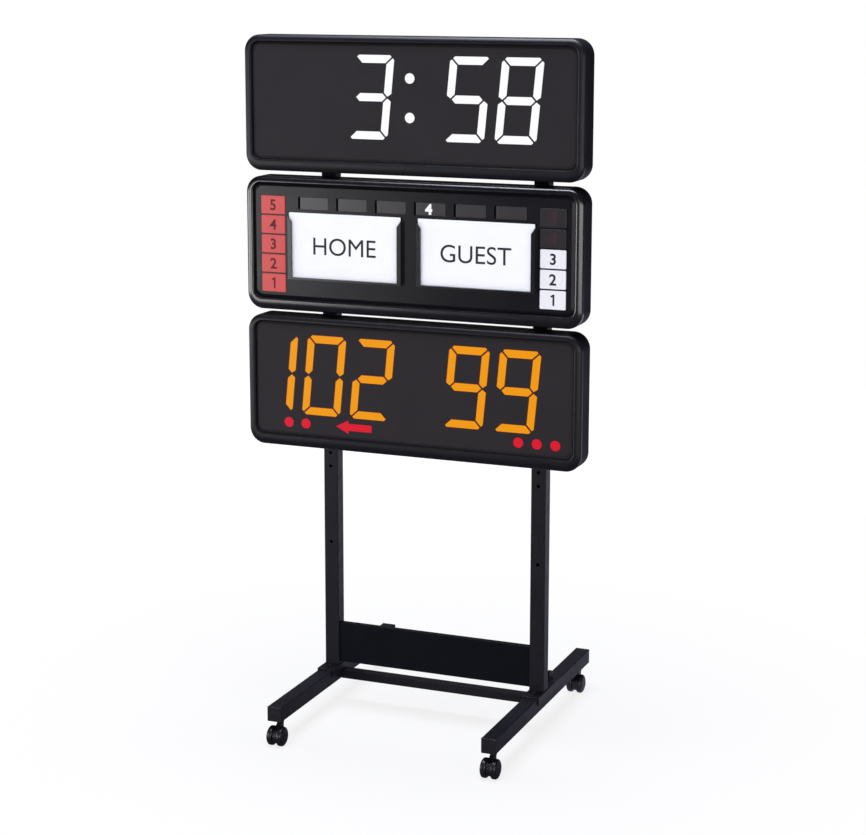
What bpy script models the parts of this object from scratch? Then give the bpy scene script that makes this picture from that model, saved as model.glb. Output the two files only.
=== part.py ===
"""Electronic scoreboard on a wheeled stand.

Three display panels hang one above another in front of two square posts. The top panel is the
game clock, the middle one holds the foul tiles, period windows and name cards, and the lower one
shows the score. The posts stand on two rails joined by a cross bar and a cross plate, and the
rails roll on four twin-wheel casters.

Metres, +Z up, the display faces -Y, and the origin is on the floor under the middle of the
object's box. "Left" and "right" are as a viewer in front of the display sees them.
"""

import math

import bmesh
import bpy
from mathutils import Matrix, Vector

# Clearances
GAP = 0.0003
RUNNING_GAP = 0.0004

# Casters
WHEEL_RADIUS = 0.0245
WHEEL_SIDES = 24
WHEEL_WIDTH = 0.0165
WHEEL_SPACING = 0.013
WHEEL_HUB_RADIUS = 0.008
CASTER_TRAIL = 0.0195
CASTER_INSET = 0.0355
CASTER_HEIGHT = 0.066
AXLE_RADIUS = 0.003
FORK_DISC_RADIUS = 0.019
SWIVEL_BOSS_RADIUS = 0.0085
SWIVEL_BOSS_DROP = 0.004
STEM_RADIUS = 0.004
STEM_RISE = 0.018

# Stand
RAIL_SIZE = 0.038
RAIL_WALL = 0.002
RAIL_LENGTH = 0.7228
RAIL_SPACING = 0.567
END_CAP_FLANGE = 0.003
END_CAP_PLUG = 0.014
POST_WIDTH = 0.039
POST_DEPTH = 0.035
POST_WALL = 0.002
POST_TOP_DROP = 0.046
POST_HOLE_RADIUS = 0.0035
POST_HOLE_HEIGHTS = (0.4395, 0.6415, 0.6765)
FOOT_PLATE = 0.003
FOOT_FRONT = 0.062
FOOT_REAR = 0.100
FOOT_SKIRT = 0.0155
FOOT_SPIGOT = 0.045
CROSS_BAR_DEPTH = 0.035
CROSS_BAR_HEIGHT = 0.020
CROSS_BAR_WALL = 0.0015
CROSS_BAR_SETBACK = 0.0155
CROSS_PLATE_HEIGHT = 0.106
CROSS_PLATE_BASE = 0.116
CROSS_PLATE_SHEET = 0.002
CROSS_PLATE_FOLD = 0.016
CROSS_PLATE_SETBACK = 0.005

# Panel cases, with depths measured back from the front of the rim
PANEL_WIDTH = 0.880
PANEL_GAP = 0.014
PANEL_BASE = 0.722
PANEL_DEPTH = 0.069
PANEL_STANDOFF = 0.083
PANEL_CORNER = 0.040
CORNER_STEPS = 6
RIM_ROUND = 0.0105
RIM_STEPS = 4
RIM_SIDE = 0.0213
RIM_TOP = 0.0180
RIM_BOTTOM = 0.0298
RIM_INNER_CORNER = 0.020
RIM_SHOULDER = 0.0060
RIM_DROP = 0.0072
RIM_LIP_BACK = 0.0195
CASE_WALL = 0.003
BEZEL_DEPTH = 0.046
COVER_SHEET = 0.0025
COVER_LIP = 0.006
COVER_EDGE_ROUND = 0.004
VENT_LENGTH = 0.060
VENT_HEIGHT = 0.004
VENT_PITCH = 0.010
VENT_COUNT = 5
VENT_SPACING = 0.130
VENT_TOP_MARGIN = 0.038
BOSS_RADIUS = 0.005
BOSS_SIDES = 12
BOARD_SCREW_RADIUS = 0.002

# Smoked front faces
FACE_RECESS = 0.005
FACE_GROOVE = 0.0075
FACE_SHEET = 0.003
FACE_SLOPE_SIDE = 0.0101
FACE_SLOPE_TOP = 0.0060
FACE_SLOPE_BOTTOM = 0.0082
FACE_CORNER = 0.014
FACE_FLANGE = 0.008

# Lamps and digits
LAMP_RISE = 0.0004
MODULE_DEPTH = 0.014
MODULE_MARGIN = 0.004
BOARD_SIDE_MARGIN = 0.0136
BOARD_END_MARGIN = 0.004
BOARD_SHEET = 0.0016
BOARD_SCREW_INSET = 0.012
DIGIT_TOP_MARGIN = 0.020
DIGIT_HEIGHT = 0.203
DIGIT_WIDTH = 0.1055
DIGIT_STROKE = 0.0203
DIGIT_SLANT = 0.096
DIGIT_CORNER = 0.012
DIGIT_TIP = 0.013
MITRE_GAP = 0.003
DIGIT_PITCH = 0.1305
DIGIT_GROUP_SPACING = 0.378
UNITS_X = -0.1007
ONE_GAP = 0.0258
COLON_SPACING = 0.0936
DOT_RADIUS = 0.013
DOT_SIDES = 20
DOT_PITCH = 0.047
DOT_SIDE_MARGIN = 0.0326
DOT_TOP_MARGIN = 0.0232
DOT_BOTTOM_MARGIN = 0.0238
ARROW_TIP_X = -0.200
ARROW_HEAD_LENGTH = 0.0347
ARROW_HEAD_HEIGHT = 0.0354
ARROW_LENGTH = 0.0975
ARROW_SHAFT = 0.0186

# Middle panel
TILE_WIDTH = 0.064
TILE_GAP = 0.0041
TILE_COUNT = 5
TILE_SIDE_MARGIN = 0.0111
TILE_TOP_MARGIN = 0.0236
TILE_BOTTOM_MARGIN = 0.0076
TILE_RISE = 0.003
WINDOW_WIDTH = 0.081
WINDOW_HEIGHT = 0.031
WINDOW_COUNT = 6
WINDOW_TOP_MARGIN = 0.0235
WINDOW_TO_TILES = 0.036
CARD_SHEET = 0.0013
CARD_TO_WINDOWS = 0.0076
CARD_TO_TILES = 0.0128
CARD_TO_MIDDLE = 0.0227
CARD_BOTTOM_MARGIN = 0.0467
HOLDER_SHEET = 0.0027
HOLDER_WALL = 0.002
HOLDER_LIP_WIDTH = 0.008
HOLDER_LIP_RISE = 0.0056
HOLDER_LIP_DROP = 0.009
HOLDER_LEDGE = 0.004

# Panel brackets behind each case
BRACKET_SHEET = 0.003
BRACKET_HEIGHT = 0.140
BRACKET_OVERHANG = 0.012

# Mains inlet and switch at the back of the lower panel
INLET_X = -0.060
SWITCH_X = -0.110
POWER_BOTTOM_MARGIN = 0.071
INLET_WIDTH = 0.028
INLET_HEIGHT = 0.020
INLET_DEPTH = 0.020
INLET_FLANGE = 0.004
INLET_WALL = 0.002
INLET_PIN_LENGTH = 0.011
ROCKER_WIDTH = 0.014
ROCKER_HEIGHT = 0.022
ROCKER_DEPTH = 0.010
ROCKER_TILT = 8.0

# Places worked out from the sizes above
RAIL_X = RAIL_SPACING / 2
FRONT_REACH = RAIL_LENGTH / 2 - CASTER_INSET + CASTER_TRAIL + WHEEL_RADIUS
RAIL_Y = (FRONT_REACH - RAIL_LENGTH / 2) / 2
RAIL_TOP = CASTER_HEIGHT + RAIL_SIZE
POST_BASE = RAIL_TOP + FOOT_PLATE + 2 * GAP
FACE_TOP_INSET = RIM_TOP + FACE_SLOPE_TOP
FACE_BOTTOM_INSET = RIM_BOTTOM + FACE_SLOPE_BOTTOM
DIGIT_ZONE = DIGIT_TOP_MARGIN + DIGIT_HEIGHT
DOT_ZONE = DOT_TOP_MARGIN + DOT_BOTTOM_MARGIN
PANEL_HEIGHT = FACE_TOP_INSET + DIGIT_ZONE + DOT_ZONE + FACE_BOTTOM_INSET
POST_FRONT = RAIL_Y - POST_DEPTH / 2
PANEL_BACK = POST_FRONT - PANEL_STANDOFF
PANEL_FRONT = PANEL_BACK - PANEL_DEPTH
PANEL_PITCH = PANEL_HEIGHT + PANEL_GAP
LOWER_Z = PANEL_BASE + PANEL_HEIGHT / 2
MIDDLE_Z = LOWER_Z + PANEL_PITCH
TOP_Z = MIDDLE_Z + PANEL_PITCH
POST_TOP = TOP_Z + PANEL_HEIGHT / 2 - POST_TOP_DROP
FACE_Y = PANEL_FRONT + FACE_RECESS
FACE_BACK = FACE_Y + FACE_SHEET
MODULE_FRONT = FACE_BACK + GAP
BOARD_FRONT = MODULE_FRONT + MODULE_DEPTH + GAP
BOARD_BACK = BOARD_FRONT + BOARD_SHEET

# The flat of the face, from the middle of its case, and what is laid out on it
FACE_SIDE = PANEL_WIDTH / 2 - RIM_SIDE - FACE_SLOPE_SIDE
FACE_TOP = PANEL_HEIGHT / 2 - FACE_TOP_INSET
FACE_BOTTOM = FACE_BOTTOM_INSET - PANEL_HEIGHT / 2
DIGIT_RISE = FACE_TOP - DIGIT_TOP_MARGIN - DIGIT_HEIGHT / 2
DOT_CENTRE_X = FACE_SIDE - DOT_SIDE_MARGIN - DOT_PITCH
DOT_RISE = FACE_BOTTOM + DOT_BOTTOM_MARGIN
TILE_COLUMN = FACE_TOP - FACE_BOTTOM - TILE_TOP_MARGIN - TILE_BOTTOM_MARGIN
TILE_HEIGHT = (TILE_COLUMN - (TILE_COUNT - 1) * TILE_GAP) / TILE_COUNT
TILE_PITCH = TILE_HEIGHT + TILE_GAP
TILE_RISE_FROM_MIDDLE = FACE_BOTTOM + TILE_BOTTOM_MARGIN + TILE_COLUMN / 2
TILE_X = FACE_SIDE - TILE_SIDE_MARGIN - TILE_WIDTH / 2
TILE_INNER_X = TILE_X - TILE_WIDTH / 2
WINDOW_RISE = FACE_TOP - WINDOW_TOP_MARGIN - WINDOW_HEIGHT / 2
WINDOW_ROW = 2 * (TILE_INNER_X - WINDOW_TO_TILES) - WINDOW_WIDTH
WINDOW_PITCH = WINDOW_ROW / (WINDOW_COUNT - 1)
CARD_TOP = WINDOW_RISE - WINDOW_HEIGHT / 2 - CARD_TO_WINDOWS
CARD_HEIGHT = CARD_TOP - FACE_BOTTOM - CARD_BOTTOM_MARGIN
CARD_WIDTH = TILE_INNER_X - CARD_TO_TILES - CARD_TO_MIDDLE
CARD_X = CARD_TO_MIDDLE + CARD_WIDTH / 2
BOARD_WIDTH = 2 * (FACE_SIDE - BOARD_SIDE_MARGIN)
BOARD_HEIGHT = FACE_TOP - FACE_BOTTOM - 2 * BOARD_END_MARGIN
BOARD_Z = (FACE_TOP + FACE_BOTTOM) / 2
BOARD_SCREW_X = BOARD_WIDTH / 2 - BOARD_SCREW_INSET
BOARD_SCREW_Z = BOARD_HEIGHT / 2 - BOARD_SCREW_INSET

VENT_RISE = PANEL_HEIGHT / 2 - VENT_TOP_MARGIN - (VENT_COUNT - 1) / 2 * VENT_PITCH
POWER_DROP = PANEL_HEIGHT / 2 - POWER_BOTTOM_MARGIN

SEGMENTS_OF = {
    "0": "abcdef",
    "2": "abged",
    "3": "abgcd",
    "5": "afgcd",
    "8": "abcdefg",
    "9": "abcdfg",
    " ": "",
}


def clear_scene():
    for item in list(bpy.data.objects):
        bpy.data.objects.remove(item)


def material(name, colour, roughness, metallic=0.0, glow=0.0):
    made = bpy.data.materials.new(name)
    made.use_nodes = True
    made.diffuse_color = (*colour, 1.0)
    shader = made.node_tree.nodes["Principled BSDF"]
    shader.inputs["Base Color"].default_value = (*colour, 1.0)
    shader.inputs["Roughness"].default_value = roughness
    shader.inputs["Metallic"].default_value = metallic
    if glow:
        shader.inputs["Emission Color"].default_value = (*colour, 1.0)
        shader.inputs["Emission Strength"].default_value = glow
    return made


def object_from(bm, name, finish, smooth=False):
    """Turns a bmesh into a named object whose faces point out."""
    bmesh.ops.recalc_face_normals(bm, faces=bm.faces)
    mesh = bpy.data.meshes.new(name)
    bm.to_mesh(mesh)
    bm.free()
    if finish:
        mesh.materials.append(finish)
    if smooth:
        mesh.shade_smooth()
        mesh.set_sharp_from_angle(angle=math.radians(35))
    made = bpy.data.objects.new(name, mesh)
    bpy.context.scene.collection.objects.link(made)
    return made


def add_box(bm, low, high):
    centre = (Vector(low) + Vector(high)) / 2
    size = Vector(high) - Vector(low)
    place = Matrix.Translation(centre) @ Matrix.Diagonal((*size, 1.0))
    bmesh.ops.create_cube(bm, size=1.0, matrix=place)


def add_prism(bm, outline, low, high, place):
    """Adds a prism: place(u, v, w) puts each outline point (u, v) at height w."""
    rings = [[bm.verts.new(place(u, v, w)) for u, v in outline] for w in (low, high)]
    bm.faces.new(rings[0])
    bm.faces.new(rings[1])
    count = len(outline)
    for i in range(count):
        j = (i + 1) % count
        bm.faces.new((rings[0][i], rings[0][j], rings[1][j], rings[1][i]))


def facing_front(u, v, w):
    """An outline in X and Z, with its height along Y."""
    return (u, w, v)


def facing_up(u, v, w):
    """An outline in X and Y, with its height along Z."""
    return (u, v, w)


def facing_side(u, v, w):
    """An outline in Y and Z, with its height along X."""
    return (w, u, v)


def join_rings(bm, rings, closed=False):
    """Bridges rings of equal counts, and caps the two ends unless the rings close on themselves."""
    rows = [[bm.verts.new(point) for point in ring] for ring in rings]
    pairs = list(zip(rows, rows[1:]))
    if closed:
        pairs.append((rows[-1], rows[0]))
    else:
        bm.faces.new(rows[0])
        bm.faces.new(rows[-1])
    for first, second in pairs:
        count = len(first)
        for i in range(count):
            j = (i + 1) % count
            bm.faces.new((first[i], first[j], second[j], second[i]))


def circle(radius, sides, centre=(0.0, 0.0)):
    """A polygon whose flats lie at the radius, with a flat at the bottom."""
    reach = radius / math.cos(math.pi / sides)
    points = []
    for i in range(sides):
        angle = 2 * math.pi * (i + 0.5) / sides - math.pi / 2
        points.append((centre[0] + reach * math.cos(angle), centre[1] + reach * math.sin(angle)))
    return points


def rectangle(width, height, centre=(0.0, 0.0)):
    x, y = centre
    return [
        (x - width / 2, y - height / 2),
        (x + width / 2, y - height / 2),
        (x + width / 2, y + height / 2),
        (x - width / 2, y + height / 2),
    ]


def rounded_rectangle(half_width, top, bottom, radius):
    corners = (
        (half_width - radius, top - radius, 0),
        (radius - half_width, top - radius, 90),
        (radius - half_width, bottom + radius, 180),
        (half_width - radius, bottom + radius, 270),
    )
    points = []
    for x, z, start in corners:
        for step in range(CORNER_STEPS + 1):
            angle = math.radians(start + 90 * step / CORNER_STEPS)
            points.append((x + radius * math.cos(angle), z + radius * math.sin(angle)))
    return points


def panel_ring(inset, depth, centre_z, corner):
    """A rounded outline of the case, drawn in by inset (side, top, bottom), at a depth from the front."""
    side, top, bottom = inset
    outline = rounded_rectangle(
        PANEL_WIDTH / 2 - side, PANEL_HEIGHT / 2 - top, bottom - PANEL_HEIGHT / 2, corner
    )
    return [(x, PANEL_FRONT + depth, centre_z + z) for x, z in outline]


def cut(target, cutters):
    """Cuts closed shapes, held in one bmesh, out of an object."""
    tool = object_from(cutters, target.name + "_cutter", None)
    tool.hide_render = True
    tool.display_type = "WIRE"
    add_boolean(target, tool, "DIFFERENCE")


def add_boolean(target, tool, operation):
    modifier = target.modifiers.new(operation.lower(), "BOOLEAN")
    modifier.operation = operation
    modifier.solver = "EXACT"
    modifier.object = tool


def unite(target, bm):
    """Joins closed shapes, held in one bmesh, to an object."""
    tool = object_from(bm, target.name + "_addition", None)
    tool.hide_render = True
    tool.display_type = "WIRE"
    add_boolean(target, tool, "UNION")


def at_pivot(made, pivot):
    """Moves an object's origin onto its joint axis, leaving its shape where it is."""
    made.data.transform(Matrix.Translation(-Vector(pivot)))
    made.location = pivot
    for modifier in made.modifiers:
        if modifier.type == "BOOLEAN":
            modifier.object.data.transform(Matrix.Translation(-Vector(pivot)))
            modifier.object.location = pivot


# Panel cases


def build_bezel(name, centre_z, finish):
    """The front shell of a case: a bullnose rim round the face opening, with its side walls."""
    opening = (RIM_SIDE, RIM_TOP, RIM_BOTTOM)
    shoulder = [value - RIM_SHOULDER for value in opening]
    rings = [panel_ring((0, 0, 0), BEZEL_DEPTH, centre_z, PANEL_CORNER)]
    for step in range(RIM_STEPS + 1):
        angle = math.radians(90 * step / RIM_STEPS)
        inset = RIM_ROUND * (1 - math.cos(angle))
        depth = RIM_ROUND * (1 - math.sin(angle))
        rings.append(panel_ring((inset,) * 3, depth, centre_z, PANEL_CORNER - inset))
    rings.append(panel_ring(shoulder, 0.0, centre_z, RIM_INNER_CORNER + RIM_SHOULDER))
    rings.append(panel_ring(opening, RIM_DROP, centre_z, RIM_INNER_CORNER))
    rings.append(panel_ring(opening, RIM_LIP_BACK, centre_z, RIM_INNER_CORNER))
    wall = (CASE_WALL,) * 3
    rings.append(panel_ring(wall, RIM_LIP_BACK, centre_z, PANEL_CORNER - CASE_WALL))
    rings.append(panel_ring(wall, BEZEL_DEPTH, centre_z, PANEL_CORNER - CASE_WALL))
    bm = bmesh.new()
    join_rings(bm, rings, closed=True)
    return object_from(bm, name, finish, smooth=True)


def build_rear_cover(name, centre_z, finish):
    """The rear shell: a tray with a lip inside the bezel, bosses for the board, and vents."""
    lip = CASE_WALL + GAP
    lip_inner = lip + CASE_WALL
    start = BEZEL_DEPTH + GAP
    end = PANEL_DEPTH
    edge = COVER_EDGE_ROUND
    inner_corner = PANEL_CORNER - lip_inner
    rings = [
        panel_ring((edge,) * 3, end, centre_z, PANEL_CORNER - edge),
        panel_ring((0, 0, 0), end - edge, centre_z, PANEL_CORNER),
        panel_ring((0, 0, 0), start, centre_z, PANEL_CORNER),
        panel_ring((lip,) * 3, start, centre_z, PANEL_CORNER - lip),
        panel_ring((lip,) * 3, start - COVER_LIP, centre_z, PANEL_CORNER - lip),
        panel_ring((lip_inner,) * 3, start - COVER_LIP, centre_z, inner_corner),
        panel_ring((lip_inner,) * 3, end - COVER_SHEET, centre_z, inner_corner),
    ]
    bm = bmesh.new()
    join_rings(bm, rings)
    cover = object_from(bm, name, finish, smooth=True)
    bosses = bmesh.new()
    for x in (-BOARD_SCREW_X, BOARD_SCREW_X):
        for z in (-BOARD_SCREW_Z, BOARD_SCREW_Z):
            outline = circle(BOSS_RADIUS, BOSS_SIDES, (x, centre_z + BOARD_Z + z))
            root = PANEL_FRONT + PANEL_DEPTH - COVER_SHEET / 2
            add_prism(bosses, outline, BOARD_BACK + GAP, root, facing_front)
    unite(cover, bosses)
    vents = bmesh.new()
    for side in (-1, 1):
        for row in range(VENT_COUNT):
            z = centre_z + VENT_RISE + (row - (VENT_COUNT - 1) / 2) * VENT_PITCH
            outline = rectangle(VENT_LENGTH, VENT_HEIGHT, (side * VENT_SPACING, z))
            start_y = PANEL_FRONT + PANEL_DEPTH - 2 * COVER_SHEET
            add_prism(vents, outline, start_y, start_y + 3 * COVER_SHEET, facing_front)
    cut(cover, vents)
    return cover


def build_face(name, centre_z, windows, finish):
    """The smoked face: a flat raised middle, sloping borders and a flange behind the rim."""
    edge = [value + GAP for value in (RIM_SIDE, RIM_TOP, RIM_BOTTOM)]
    slopes = (FACE_SLOPE_SIDE, FACE_SLOPE_TOP, FACE_SLOPE_BOTTOM)
    flat = [rim + slope for rim, slope in zip((RIM_SIDE, RIM_TOP, RIM_BOTTOM), slopes)]
    flange = [value - FACE_FLANGE for value in edge]
    inner_edge = [value + FACE_SHEET for value in edge]
    inner_flat = [value + FACE_SHEET / 2 for value in flat]
    flange_front = RIM_LIP_BACK + GAP
    flange_back = flange_front + FACE_SHEET
    corner = RIM_INNER_CORNER
    rings = [
        panel_ring(flat, FACE_RECESS, centre_z, FACE_CORNER),
        panel_ring(edge, FACE_GROOVE, centre_z, corner),
        panel_ring(edge, flange_front, centre_z, corner),
        panel_ring(flange, flange_front, centre_z, corner + FACE_FLANGE),
        panel_ring(flange, flange_back, centre_z, corner + FACE_FLANGE),
        panel_ring(inner_edge, flange_back, centre_z, corner - FACE_SHEET),
        panel_ring(inner_edge, FACE_GROOVE + FACE_SHEET / 2, centre_z, corner - FACE_SHEET),
        panel_ring(inner_flat, FACE_RECESS + FACE_SHEET, centre_z, FACE_CORNER - FACE_SHEET / 2),
    ]
    bm = bmesh.new()
    join_rings(bm, rings)
    face = object_from(bm, name, finish)
    cutters = bmesh.new()
    for outline in windows:
        add_prism(cutters, outline, FACE_Y - FACE_SHEET, FACE_BACK + FACE_SHEET, facing_front)
    cut(face, cutters)
    return face


def build_board(name, centre_z, finish):
    """The circuit board behind the lamps, screwed to the bosses of the rear cover."""
    middle = centre_z + BOARD_Z
    bm = bmesh.new()
    outline = rectangle(BOARD_WIDTH, BOARD_HEIGHT, (0.0, middle))
    add_prism(bm, outline, BOARD_FRONT, BOARD_BACK, facing_front)
    board = object_from(bm, name, finish)
    holes = bmesh.new()
    for x in (-BOARD_SCREW_X, BOARD_SCREW_X):
        for z in (-BOARD_SCREW_Z, BOARD_SCREW_Z):
            outline = circle(BOARD_SCREW_RADIUS, BOSS_SIDES, (x, middle + z))
            start = BOARD_FRONT - BOARD_SHEET
            add_prism(holes, outline, start, start + 3 * BOARD_SHEET, facing_front)
    cut(board, holes)
    return board


# Lamp modules


def segment_outlines():
    """The seven strokes of a digit as (x, z) points about its centre, before it is slanted."""
    half_width, half_height = DIGIT_WIDTH / 2, DIGIT_HEIGHT / 2
    mitre = MITRE_GAP / math.sqrt(2)
    near = (DIGIT_CORNER + mitre) / 2
    far = (DIGIT_CORNER - mitre) / 2
    stroke = DIGIT_STROKE
    top_half = [(DIGIT_CORNER, 0.0), (near, far), (stroke + mitre, stroke)]
    top = [(half_width - a, half_height - b) for a, b in top_half]
    top += [(-x, z) for x, z in reversed(top)]
    waist = stroke - DIGIT_TIP + 2 * mitre
    corner = ((0.0, DIGIT_CORNER), (far, near), (stroke, stroke + mitre))
    side = [(half_width - a, half_height - b) for a, b in corner]
    side += [
        (half_width - stroke, waist),
        (half_width - DIGIT_TIP + 2 * mitre - MITRE_GAP / 2, MITRE_GAP / 2),
        (half_width, DIGIT_TIP - 2 * mitre),
    ]
    middle = [(half_width - DIGIT_TIP, 0.0), (half_width - DIGIT_TIP - stroke / 2, stroke / 2)]
    middle += [(-x, z) for x, z in reversed(middle)]
    middle += [(x, -z) for x, z in (middle[2], middle[1])]
    return {
        "a": top,
        "b": side,
        "c": [(x, -z) for x, z in side],
        "d": [(x, -z) for x, z in top],
        "e": [(-x, -z) for x, z in side],
        "f": [(-x, z) for x, z in side],
        "g": middle,
    }


def slanted(outline, centre):
    return [(centre[0] + x + DIGIT_SLANT * z, centre[1] + z) for x, z in outline]


def grown(outline, margin):
    """The outline moved out by margin, for the window round a lamp."""
    area = sum(a[0] * b[1] - b[0] * a[1] for a, b in zip(outline, outline[1:] + outline[:1]))
    turn = 1.0 if area > 0 else -1.0
    result = []
    count = len(outline)
    for i in range(count):
        before, here, after = (Vector(outline[k % count]) for k in (i - 1, i, i + 1))
        first = (here - before).normalized()
        second = (after - here).normalized()
        normals = [Vector((edge.y, -edge.x)) * turn for edge in (first, second)]
        bisector = (normals[0] + normals[1]).normalized()
        point = here + bisector * (margin / bisector.dot(normals[0]))
        result.append((point.x, point.y))
    return result


def build_module(name, back_outline, lamps, rise, finish):
    """A lamp module: a block behind the face, with its lit lamps standing through the face's windows."""
    bm = bmesh.new()
    add_prism(bm, back_outline, MODULE_FRONT, MODULE_FRONT + MODULE_DEPTH, facing_front)
    module = object_from(bm, name, finish)
    if lamps:
        fronts = bmesh.new()
        for outline in lamps:
            add_prism(fronts, outline, FACE_Y - rise, MODULE_FRONT + MODULE_DEPTH / 2, facing_front)
        unite(module, fronts)
    return module


def build_digit(name, value, centre, finish):
    shapes = segment_outlines()
    lamps = [slanted(shapes[letter], centre) for letter in SEGMENTS_OF[value]]
    width = DIGIT_WIDTH + 2 * MODULE_MARGIN
    height = DIGIT_HEIGHT + 2 * MODULE_MARGIN
    build_module(name, slanted(rectangle(width, height), centre), lamps, LAMP_RISE, finish)
    return [grown(outline, GAP) for outline in lamps]


def build_one(name, lit, centre, finish):
    """The narrow hundreds digit, which only shows a one."""
    shapes = segment_outlines()
    shift = (DIGIT_STROKE - DIGIT_WIDTH) / 2
    outlines = [[(x + shift, z) for x, z in shapes[letter]] for letter in "bc"]
    lamps = [slanted(outline, centre) for outline in outlines] if lit else []
    width = DIGIT_STROKE + 2 * MODULE_MARGIN
    height = DIGIT_HEIGHT + 2 * MODULE_MARGIN
    build_module(name, slanted(rectangle(width, height), centre), lamps, LAMP_RISE, finish)
    return [grown(outline, GAP) for outline in lamps]


def digit_places():
    """X of the tens and units digits of the left and right pair."""
    units = (UNITS_X, UNITS_X + DIGIT_GROUP_SPACING)
    return [(x - DIGIT_PITCH, x) for x in units]


def build_clock(centre_z, finish):
    places = [x for pair in digit_places() for x in pair]
    digit_z = centre_z + DIGIT_RISE
    windows = []
    names = ("tens_of_minutes", "minutes", "tens_of_seconds", "seconds")
    for name, value, x in zip(names, " 358", places):
        windows += build_digit("clock_" + name, value, (x, digit_z), finish)
    lamps = [
        circle(DOT_RADIUS, DOT_SIDES, (0.0, digit_z + side * COLON_SPACING / 2)) for side in (-1, 1)
    ]
    width = 2 * (DOT_RADIUS + MODULE_MARGIN)
    block = rectangle(width, COLON_SPACING + width, (0.0, digit_z))
    build_module("clock_colon", block, lamps, LAMP_RISE, finish)
    return windows + [grown(outline, GAP) for outline in lamps]


def build_score(centre_z, finish):
    digit_z = centre_z + DIGIT_RISE
    windows = []
    ones_offset = DIGIT_WIDTH / 2 + ONE_GAP + DIGIT_STROKE / 2
    sides = (("home", "02", True), ("guest", "99", False))
    for (side, values, hundreds), pair in zip(sides, digit_places()):
        centre = (pair[0] - ones_offset, digit_z)
        windows += build_one(side + "_hundreds", hundreds, centre, finish)
        for place, x, value in zip(("tens", "units"), pair, values):
            windows += build_digit(f"{side}_{place}", value, (x, digit_z), finish)
    return windows


def build_foul_dots(name, centre_x, lit, centre_z, finish):
    """A strip of three round lamps, of which those in lit stand through the face."""
    z = centre_z + DOT_RISE
    lamps = [circle(DOT_RADIUS, DOT_SIDES, (centre_x + place * DOT_PITCH, z)) for place in lit]
    height = 2 * (DOT_RADIUS + MODULE_MARGIN / 4)
    block = rectangle(2 * DOT_PITCH + height, height, (centre_x, z))
    build_module(name, block, lamps, LAMP_RISE, finish)
    return [grown(outline, GAP) for outline in lamps]


def build_arrow(centre_z, finish):
    """The possession arrow, which points left."""
    z = centre_z + DOT_RISE
    neck = ARROW_TIP_X + ARROW_HEAD_LENGTH
    tail = ARROW_TIP_X + ARROW_LENGTH
    upper = [(neck, ARROW_HEAD_HEIGHT / 2), (neck, ARROW_SHAFT / 2), (tail, ARROW_SHAFT / 2)]
    outline = [(ARROW_TIP_X, 0.0)] + upper + [(x, -v) for x, v in reversed(upper)]
    lamp = [(x, z + v) for x, v in outline]
    height = 2 * (DOT_RADIUS + MODULE_MARGIN / 4)
    block_outline = rectangle(ARROW_LENGTH, height, (ARROW_TIP_X + ARROW_LENGTH / 2, z))
    build_module("possession_arrow", block_outline, [lamp], LAMP_RISE, finish)
    return [grown(lamp, GAP)]


def build_foul_tiles(name, centre_x, centre_z, finish):
    """Five numbered foul lamps in a column, on one strip."""
    middle = centre_z + TILE_RISE_FROM_MIDDLE
    lamps = []
    for row in range(TILE_COUNT):
        z = middle + (row - (TILE_COUNT - 1) / 2) * TILE_PITCH
        lamps.append(rectangle(TILE_WIDTH, TILE_HEIGHT, (centre_x, z)))
    height = (TILE_COUNT - 1) * TILE_PITCH + TILE_HEIGHT
    block = rectangle(TILE_WIDTH + MODULE_MARGIN, height + MODULE_MARGIN, (centre_x, middle))
    build_module(name, block, lamps, TILE_RISE, finish)
    return [grown(outline, GAP) for outline in lamps]


def build_period_windows(centre_z, finish):
    """The row of period windows over the name cards, on one strip."""
    z = centre_z + WINDOW_RISE
    lamps = []
    for place in range(WINDOW_COUNT):
        x = (place - (WINDOW_COUNT - 1) / 2) * WINDOW_PITCH
        lamps.append(rectangle(WINDOW_WIDTH, WINDOW_HEIGHT, (x, z)))
    length = (WINDOW_COUNT - 1) * WINDOW_PITCH + WINDOW_WIDTH
    block = rectangle(length + MODULE_MARGIN, WINDOW_HEIGHT + MODULE_MARGIN, (0.0, z))
    build_module("period_windows", block, lamps, LAMP_RISE, finish)
    return [grown(outline, GAP) for outline in lamps]


# Name cards


def build_card_holder(name, centre_x, centre_z, finish):
    """A tray with a channel down each side and a ledge below, open at the top for the card."""
    half_card = CARD_WIDTH / 2
    outer = half_card + GAP + HOLDER_WALL
    back = -GAP
    floor = back - HOLDER_SHEET
    lip_back = floor - 2 * GAP - CARD_SHEET
    lip_front = lip_back - HOLDER_LIP_RISE
    half = [
        (outer, back),
        (outer, lip_front),
        (half_card - HOLDER_LIP_WIDTH, lip_front),
        (half_card - HOLDER_LIP_WIDTH, lip_back),
        (half_card + GAP, lip_back),
        (half_card + GAP, floor),
    ]
    outline = half + [(-x, depth) for x, depth in reversed(half)]
    outline = [(centre_x + x, FACE_Y + depth) for x, depth in outline]
    card_base = CARD_TOP - CARD_HEIGHT
    bm = bmesh.new()
    top = centre_z + CARD_TOP - HOLDER_LIP_DROP
    add_prism(bm, outline, centre_z + card_base - GAP - HOLDER_LEDGE / 2, top, facing_up)
    holder = object_from(bm, name, finish)
    ledge = bmesh.new()
    ledge_top = centre_z + card_base - GAP
    add_box(
        ledge,
        (centre_x - outer, FACE_Y + lip_front, ledge_top - HOLDER_LEDGE),
        (centre_x + outer, FACE_Y + back, ledge_top),
    )
    unite(holder, ledge)
    return holder


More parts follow.
